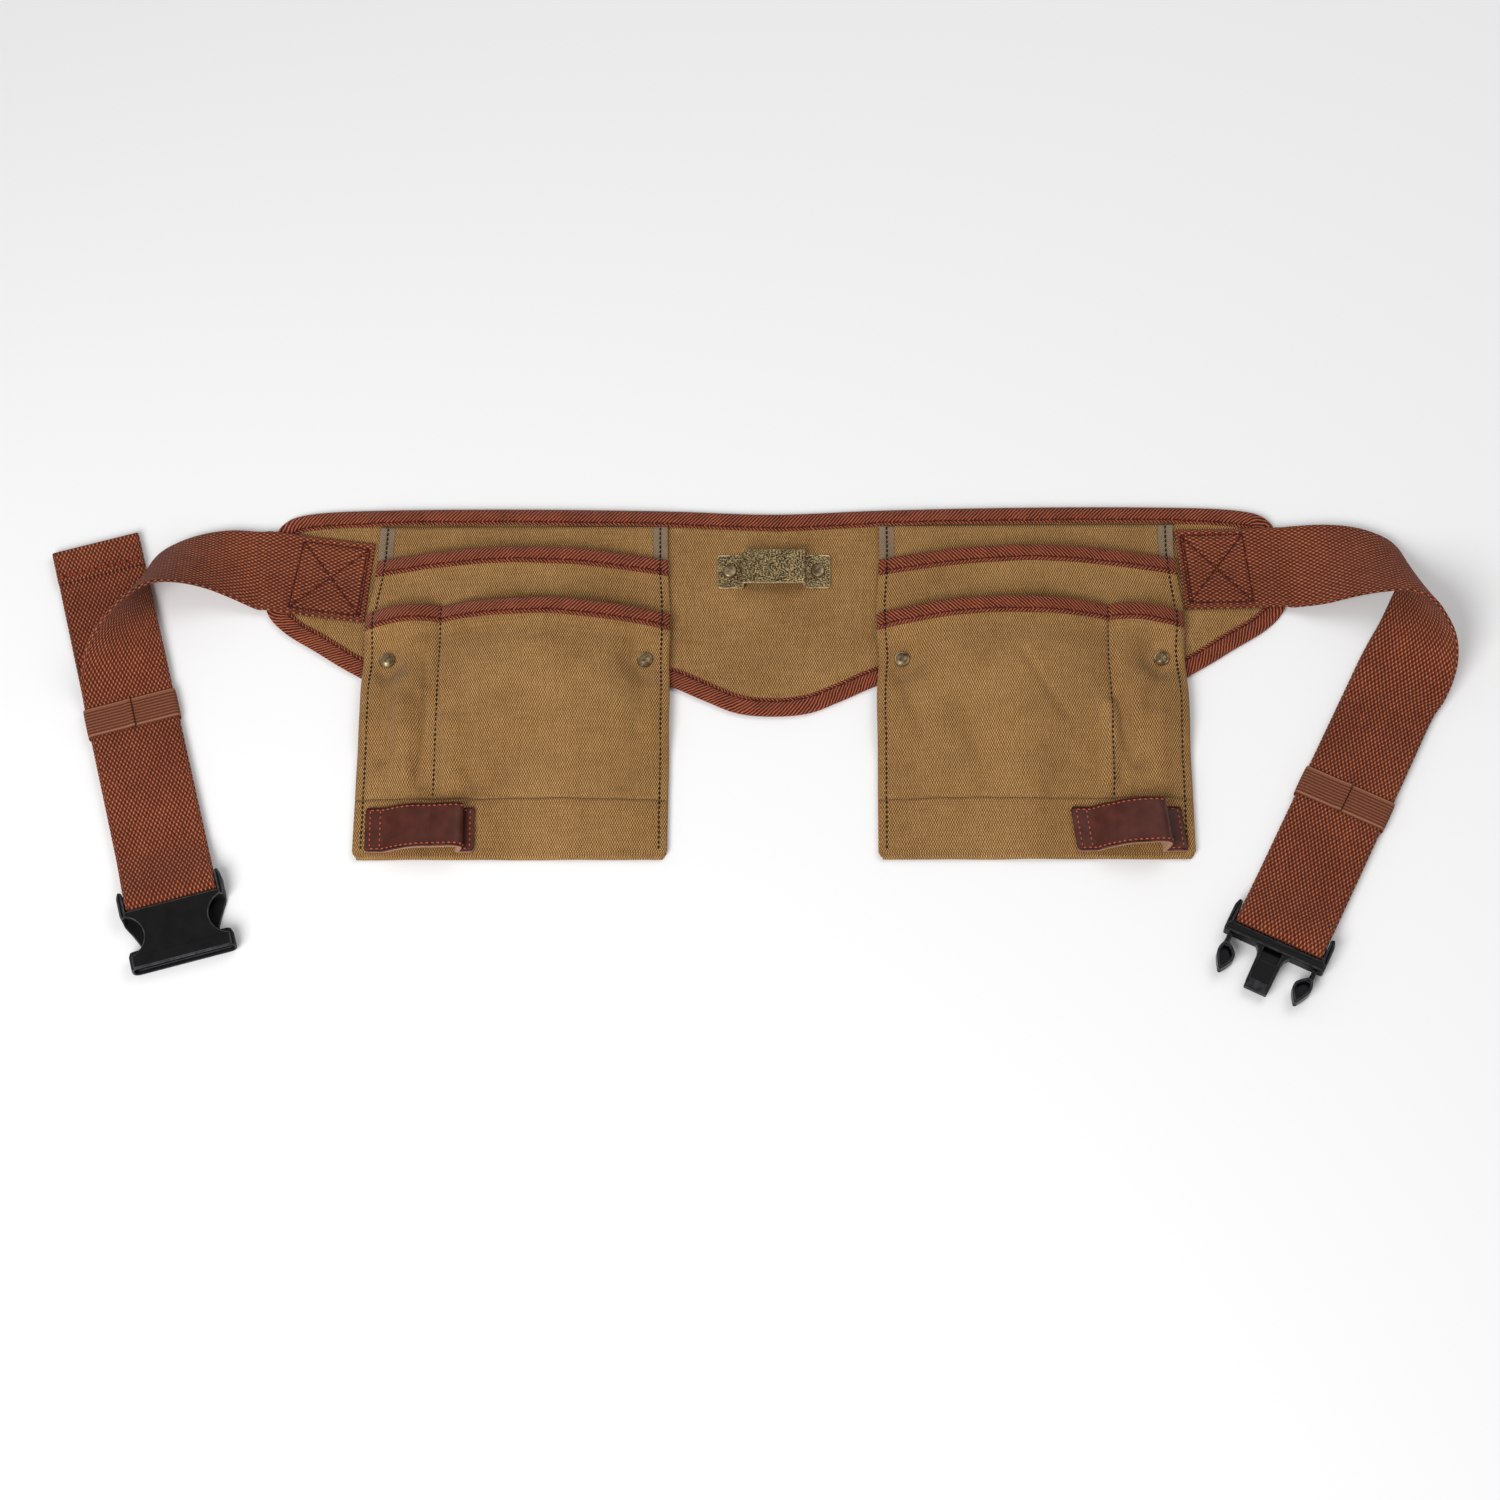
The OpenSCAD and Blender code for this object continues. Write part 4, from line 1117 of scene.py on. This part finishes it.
def anchor_seams(side):
    """The box and cross that sew an arm to the panel, as pairs of corners."""
    inner_y, outer_y = ANCHOR_Y[side]

    def at(x, v):
        t = (x - ANCHOR_IN) / (ANCHOR_OUT - ANCHOR_IN)
        return np.array([side * x, mix(inner_y, outer_y, t) + v])

    low, high = -21.6, 21.2
    a, b = at(ANCHOR_IN + 2.4, low), at(BOX_OUT[side][0], low)
    c, d = at(BOX_OUT[side][1], high), at(ANCHOR_IN - ANCHOR_SLANT + 2.6, high)
    shift = np.array([side * 1.5, 0])
    return [(a, b), (b, c), (c, d), (d, a), (a, c), (d, b), (d + shift, a + shift)]


def anchor_stitches(side):
    table = np.array(ANCHOR_LINE)

    def height(x, y):
        return np.interp(side * x, table[:, 0], table[:, 1]) + WEBBING_T / 2 - 0.25

    runs = [draped(height, corners, 1.2, 0.06) for corners in anchor_seams(side)]
    sewn = stitches(f"{SIDE_NAME[side]}_anchor_stitches", runs, MAROON_THREAD, pitch=2.8,
                    radius=0.45)
    riding(sewn, "belt")


def hem_stitches():
    """Orange-red rows across the hem at the end of the left tail."""
    end = RUN[LEFT] - TAIL[LEFT]
    across = np.linspace(-23.5, 23.5, 48)
    along = end + HEM - 3.5 + 0.35 * np.sin(across / 6)
    points = run_place(LEFT, along, across, np.full(len(along), TAIL_Z + 3.25))
    sewn = stitches("left_hem_stitches", [facing(points)], RUST_THREAD, pitch=3.4, radius=0.68)
    riding(sewn, "left_arm")


def keeper(side):
    """An elastic band round the webbing and its tail, its two ends overlapping on top."""
    half_w, low, high, r = WEBBING_W / 2 + 0.9, 0.42, 6.1, 2.2
    corners = [(-half_w + r, high - r, 90), (-half_w + r, low + r, 180),
               (half_w - r, low + r, 270), (half_w - r, high - r, 0)]
    path = [(0.8, high + 0.75), (-1.5, high + 0.55), (-4.0, high)]
    for x, z, start in corners:
        angles = np.radians(np.linspace(start, start + 90, 7))
        path += [(x + r * math.cos(a), z + r * math.sin(a)) for a in angles]
    path += [(4.0, high), (1.6, high - 0.02), (-1.2, high - 0.05)]
    line = resample(np.array(path), 0.7)
    half_band = KEEPER_W / 2
    place = np.linspace(-half_band, half_band, 13)
    crown = 0.12 * (1 - (place / half_band) ** 2)
    x, z = line[:, :1] * (1 + crown / half_w), line[:, 1:] + crown * (line[:, 1:] > 3)
    grid = run_place(side, KEEPER_AT[side] + np.broadcast_to(place, x.shape), x, z)
    name = SIDE_NAME[side]
    band = shell(f"{name}_keeper_band", grid, 0.75, ELASTIC)
    riding(band, f"{name}_keeper_body", f"{name}_keeper")
    along = np.linspace(-8.6, 10.4, 24)
    across = 1.1 - 0.02 * along**2 * (along > 8.8)
    points = run_place(side, KEEPER_AT[side] + along, across, np.full(len(along), high + 1.0))
    points[-2:, 2] -= 0.5
    sewn = stitches(f"{name}_keeper_seam", [facing(points)], MAROON_THREAD, pitch=2.2, radius=0.3)
    riding(sewn, f"{name}_keeper_body")


# ---- side-release buckle ----
BUCKLE_HALF, BUCKLE_T = 29, 10.8
SOCKET_LEN, TONGUE_LEN = 39.5, 36
SLOT_EDGE, FRAME_DEPTH, FRAME_T = 5.6, 5.9, 9
LUG_IN = 25.6
PRONG_X, PRONG_T = 24.5, 7
# Edges of the mouldings that turn by more than this are not smoothed over
SHARP = math.radians(21)


def rounded(corners, radius, steps=5):
    """A closed counter-clockwise outline with its corners rounded off."""
    p = np.array(corners, float)
    area = np.sum(p[:, 0] * np.roll(p[:, 1], -1) - np.roll(p[:, 0], -1) * p[:, 1])
    if area < 0:
        p = p[::-1]
    line = []
    for before, here, after in zip(np.roll(p, 1, axis=0), p, np.roll(p, -1, axis=0)):
        a, b = before - here, after - here
        reach = min(radius, np.linalg.norm(a) * 0.48, np.linalg.norm(b) * 0.48)
        start, stop = here + unit(a) * reach, here + unit(b) * reach
        for t in np.linspace(0, 1, steps):
            line.append((1 - t) ** 2 * start + 2 * t * (1 - t) * here + t**2 * stop)
    return np.array(line)


class Moulding:
    """Bevelled plastic shapes, joined into one piece, in a buckle half's own axes: the webbing's
    bar is at the origin and the buckle's tip points along -Y."""

    def __init__(self, side, look):
        self.side, self.look = side, look
        self.points, self.faces, self.rim_light = [], [], []

    def add(self, rings, closed=False, rim_light=None):
        """The last argument, one value for each ring or each point of a ring, is how much painted
        highlight the plastic gets there.
        """
        start = sum(len(p) for p in self.points)
        rows, ring = rings.shape[:2]
        self.points.append(rings.reshape(-1, 3))
        self.rim_light.append(np.broadcast_to(0.0 if rim_light is None else rim_light, (rows, ring)).ravel())
        self.faces += tube_faces(rows, ring, closed, start)

    def slab(self, outline, low, high, bevel):
        """The outline raised from low to high, with its rims bevelled."""
        normals = outward(outline)
        b = bevel
        # The third value of each ring is how much painted highlight its bevel gets.
        profile = [(1.5 * b, low, 0), (b, low, 1), (0.29 * b, low + 0.29 * b, 1), (0, low + b, 0),
                   (0, high - b, 0), (0.29 * b, high - 0.29 * b, 1), (b, high, 1),
                   (1.5 * b, high, 0)]
        self.add(np.stack([np.column_stack([outline - normals * inset, np.full(len(outline), z)])
                           for inset, z, _ in profile]), rim_light=np.array(profile)[:, 2:])

    def rim(self, outline, low, high, width, bevel):
        """A wall of this width inside the outline."""
        normals = outward(outline)
        b = bevel
        profile = [(b, high), (0, high - b), (0, low + b), (b, low), (width - b, low),
                   (width, low + b), (width, high - b), (width - b, high)]
        rings = np.stack([np.column_stack([outline - normals * inset, np.full(len(outline), z)])
                          for inset, z in profile], axis=1)
        # Painted highlight along the wall's top rims, fading down its sides.
        self.add(rings, closed=True, rim_light=np.array([1, 0.4, 0, 0, 0, 0, 0.4, 1]))

    def box(self, x, y, z, radius=1.2, bevel=0.6):
        corners = [(x[0], y[0]), (x[1], y[0]), (x[1], y[1]), (x[0], y[1])]
        self.slab(rounded(corners, radius), z[0], z[1], bevel)

    def slope(self, half_width, y, top, low):
        """A block whose upper side slants from top[0] at y[0] to top[1] at y[1]."""
        b = 0.5
        side = [(y[0], low), (y[0], top[0] - b), (y[0] - b, top[0]), (y[1] + b, top[1] + b),
                (y[1], top[1]), (y[1], low + b), (y[1] + b, low)]
        # Painted highlight along the slanted top and its upper edge.
        rim_light = [0, 0.5, 1, 1, 1, 0, 0]
        stations = [(-half_width, b), (-half_width + b, 0), (half_width - b, 0), (half_width, b)]
        middle = np.mean(side, axis=0)
        rings = []
        for x, inset in stations:
            shrunk = middle + (np.array(side) - middle) * (1 - inset / 3)
            rings.append(np.column_stack([np.full(len(side), x), shrunk]))
        self.add(np.stack(rings), rim_light=np.array(rim_light))

    def bar(self, half_length):
        turn = np.radians(np.arange(0, 360, 20))
        circle = np.stack([2.2 * np.cos(turn), 2.2 * np.sin(turn)], axis=1)
        self.add(np.stack([np.column_stack([np.full(len(circle), x), circle])
                           for x in (-half_length, half_length)]))

    def build(self, name, body, node):
        h = HEADING[self.side]
        local = np.concatenate(self.points)
        at = np.array(RUN_START[self.side]) + RUN[self.side] * forward(self.side)
        placed = np.column_stack([
            at[0] + local[:, 0] * math.cos(h) - local[:, 1] * math.sin(h),
            at[1] + local[:, 0] * math.sin(h) + local[:, 1] * math.cos(h), BAR_Z + local[:, 2]])
        # The painted highlight of every ring goes to the material as the third value.
        wear_and_rim_light = np.concatenate(self.rim_light)
        piece = mesh(name, placed, self.faces, self.look, np.column_stack([local[:, :2], wear_and_rim_light]))
        piece.data.set_sharp_from_angle(angle=SHARP)
        riding(piece, body, node)


def socket():
    """The female half: a mouth ring, two waisted plates, the rear wall, ears and the bar."""
    m = Moulding(LEFT, PLASTIC)
    half_t = BUCKLE_T / 2
    ring = rounded([(-BUCKLE_HALF, -half_t), (BUCKLE_HALF, -half_t), (BUCKLE_HALF, half_t),
                    (-BUCKLE_HALF, half_t)], 4.6, 9)
    normals = outward(ring)
    mouth_y = -SOCKET_LEN
    # The third values paint a highlight onto the mouth's lip.
    profile = [(0.9, -29, 0), (0.1, -31, 0), (0.1, mouth_y + 0.9, 0), (0.2, mouth_y + 0.3, 1),
               (0.6, mouth_y, 1), (1.1, mouth_y, 1), (1.45, mouth_y + 0.3, 0.3),
               (1.5, mouth_y + 1, 0), (1.5, -29, 0)]
    rings = np.stack([np.column_stack([(ring - normals * d)[:, 0], np.full(len(ring), y),
                                       (ring - normals * d)[:, 1]]) for d, y, _ in profile], axis=1)
    m.add(rings, closed=True, rim_light=np.array(profile)[:, 2])
    arc = np.radians(np.linspace(104, 256, 17))
    waist = [(30 + 12 * math.cos(a), -20 + 12 * math.sin(a)) for a in arc]
    right_side = [(26.2, -SLOT_EDGE), *waist, (27.2, -32.4), (27.2, mouth_y + 0.5)]
    plate = rounded([(-x, y) for x, y in right_side[::-1]] + right_side, 0.8, 3)
    m.slab(plate, half_t - 1.7, half_t, 0.5)
    cheek = [(28.6, -SLOT_EDGE), (28.8, -9.5), (24.6, -17.5), (21.4, -24.6), (22.4, -28.4),
             (27.2, -31.4), (27.2, -37.5)]
    floor = rounded([(-x, y) for x, y in cheek[::-1]] + cheek, 2.4, 4)
    m.slab(floor, -half_t, -half_t + 1.7, 0.5)
    m.box((-26.6, 26.6), (-8.4, -SLOT_EDGE), (-half_t + 0.3, half_t - 0.3))
    for side in (LEFT, RIGHT):
        ear = [(LUG_IN, 6.4), (LUG_IN, -8.6), (28.2, -9.6), (BUCKLE_HALF, -7.5), (BUCKLE_HALF, 3.5),
               (27.8, 7)]
        m.slab(rounded([(side * x, y) for x, y in ear], 1.5), -4.9, 4.9, 0.8)
    m.bar(LUG_IN + 0.5)
    for x in (-14, 0, 14):
        m.box((x - 0.6, x + 0.6), (-SOCKET_LEN + 9, -9), (half_t - 2.6, half_t - 1.2), 0.4, 0.2)
    m.build("socket_shell", "socket", "female_buckle")


def plug():
    """The male half's frame: cross-member, lugs beside the webbing, bar and guide tongue."""
    m = Moulding(RIGHT, GLOSSY)
    half_t = FRAME_T / 2
    low = -SLOT_EDGE - FRAME_DEPTH
    m.box((-BUCKLE_HALF, BUCKLE_HALF), (low, -SLOT_EDGE), (-half_t, half_t - 0.6), 1.4, 0.9)
    for side in (LEFT, RIGHT):
        lug = [(LUG_IN, 7.2), (LUG_IN, -7), (BUCKLE_HALF, -8.5), (BUCKLE_HALF, 4.2), (27.6, 8)]
        m.slab(rounded([(side * x, y) for x, y in lug], 1.6), -half_t, half_t, 0.9)
        rail = [(11, low + 1.2), (8, low - 2.2), (7.1, low - 5.5), (6.7, 2 - TONGUE_LEN),
                (5.1, 2 - TONGUE_LEN), (5.1, low + 1.2)]
        m.slab(rounded([(side * x, y) for x, y in rail], 0.8), -3, 3, 0.45)
    m.box((-6, 6), (-19.5, low + 0.5), (-2.4, -0.6), 0.6, 0.3)
    m.box((-6, 6), (5 - TONGUE_LEN, -18.6), (-2.4, 1.5), 0.6, 0.3)
    m.slope(6.6, (5.6 - TONGUE_LEN, -TONGUE_LEN), (2.6, 0.4), -3)
    m.bar(LUG_IN + 0.5)
    m.build("plug_frame", "plug", "male_buckle")


def prong(side, name):
    """A leaf with a sunk middle on a slim neck."""
    m = Moulding(RIGHT, GLOSSY)
    root = -SLOT_EDGE - FRAME_DEPTH - 0.5
    half_t = PRONG_T / 2
    neck = [(-1.3, -0.2), (-1.35, -5), (-2.6, -8), (1.6, -8), (1.35, -5), (1.3, -0.2)]
    leaf = [(-1.2, -5.2), (-4.6, -7.6), (-7.2, -10.6), (-7.5, -14), (-5.6, -18.2), (-3.2, -21.9),
            (-1.9, -21.6), (0.4, -17.6), (2.4, -13.6), (2.7, -10), (1.6, -6.8), (0.6, -5.2)]
    neck, leaf = ([(side * (PRONG_X + x), root + y) for x, y in shape] for shape in (neck, leaf))
    m.slab(rounded(neck, 0.7), -half_t + 0.8, half_t - 0.8, 0.4)
    outline = rounded(leaf, 1.6, 4)
    m.rim(outline, -half_t, half_t, 1.7, 0.5)
    m.slab(outline, -half_t + 1.5, half_t - 3.6, 0.3)
    m.build(f"{name}_leaf", f"{name}_body", name)


# ---- studio ----
def look_from(azimuth, elevation, roll, target, distance):
    a, e, r = (math.radians(v) for v in (azimuth, elevation, roll))
    back = Vector((math.sin(a) * math.cos(e), -math.cos(a) * math.cos(e), math.sin(e)))
    right = Vector((math.cos(a), math.sin(a), 0))
    up = back.cross(right)
    x_axis = right * math.cos(r) + up * math.sin(r)
    y_axis = -right * math.sin(r) + up * math.cos(r)
    place = Matrix((x_axis, y_axis, back)).transposed().to_4x4()
    place.translation = (Vector(target) + back * distance) * MM
    return place


def camera():
    data = bpy.data.cameras.new("camera")
    data.lens = 78.5
    data.sensor_width = 36
    data.clip_start, data.clip_end = 0.05, 20
    eye = bpy.data.objects.new("camera", data)
    bpy.context.scene.collection.objects.link(eye)
    eye.matrix_world = look_from(3.2, 66, -3.05, (-12.9, -83.4, 0), 1819)
    bpy.context.scene.camera = eye


def area_light(name, place, aim, size, power):
    data = bpy.data.lights.new(name, "AREA")
    data.shape = "DISK"
    data.size = size
    data.energy = power
    lamp = bpy.data.objects.new(name, data)
    bpy.context.scene.collection.objects.link(lamp)
    lamp.location = place
    lamp.rotation_mode = "QUATERNION"
    lamp.rotation_quaternion = (Vector(aim) - Vector(place)).to_track_quat("-Z", "Y")


def studio():
    floor_look = bpy.data.materials.new("pale_floor")
    floor_look.use_nodes = True
    shader = floor_look.node_tree.nodes["Principled BSDF"]
    shader.inputs["Base Color"].default_value = (0.93, 0.93, 0.93, 1)
    shader.inputs["Roughness"].default_value = 0.9
    shader.inputs["Specular IOR Level"].default_value = 0.1
    data = bpy.data.meshes.new("floor")
    reach, z = 6.0, -0.0004
    corners = [(-reach, -reach, z), (reach, -reach, z), (reach, reach, z), (-reach, reach, z)]
    data.from_pydata(corners, [], [(0, 1, 2, 3)])
    data.materials.append(floor_look)
    floor = bpy.data.objects.new("floor", data)
    bpy.context.scene.collection.objects.link(floor)
    world = bpy.data.worlds.new("studio")
    world.use_nodes = True
    world.node_tree.nodes["Background"].inputs["Color"].default_value = (1, 1, 1, 1)
    world.node_tree.nodes["Background"].inputs["Strength"].default_value = 0.34
    bpy.context.scene.world = world
    bpy.context.scene.view_settings.view_transform = "Standard"
    area_light("key", (-0.75, -1.3, 1.4), (0, -0.03, 0), 1.2, 32)
    area_light("fill", (0.9, 0.7, 1.8), (0, -0.05, 0), 1.4, 11)


# ---- build ----
camera()
studio()
face, lining = waist_panel()
binding, binding_stitches = panel_binding()
bracket()
for side in (LEFT, RIGHT):
    pouch = Pouch(side)
    name = SIDE_NAME[side]
    back, rear, front, base = pouch_canvas(pouch)
    rear_tape, rear_run = mouth_binding(pouch, pouch.rear, REAR_MOUTH, "rear")
    front_tape, front_run = mouth_binding(pouch, pouch.front, FRONT_MOUTH, "front")
    mouth_rows = stitches(f"{name}_mouth_stitches", [rear_run, front_run], MAROON_THREAD,
                          pitch=2.9, radius=0.42, share=0.66)
    riding(mouth_rows, "belt")
    side_tapes(pouch)
    pouch_stitches(pouch)
    pouch_rivets(pouch)
    webbing_arm(side)
    anchor_stitches(side)
    keeper(side)
tool_loop(Pouch(LEFT), -224, 9, 52.5, 0.0)
tool_loop(Pouch(RIGHT), 165, 14, 49, 0.14)
hem_stitches()
socket()
plug()
prong(LEFT, "inner_prong")
prong(RIGHT, "outer_prong")
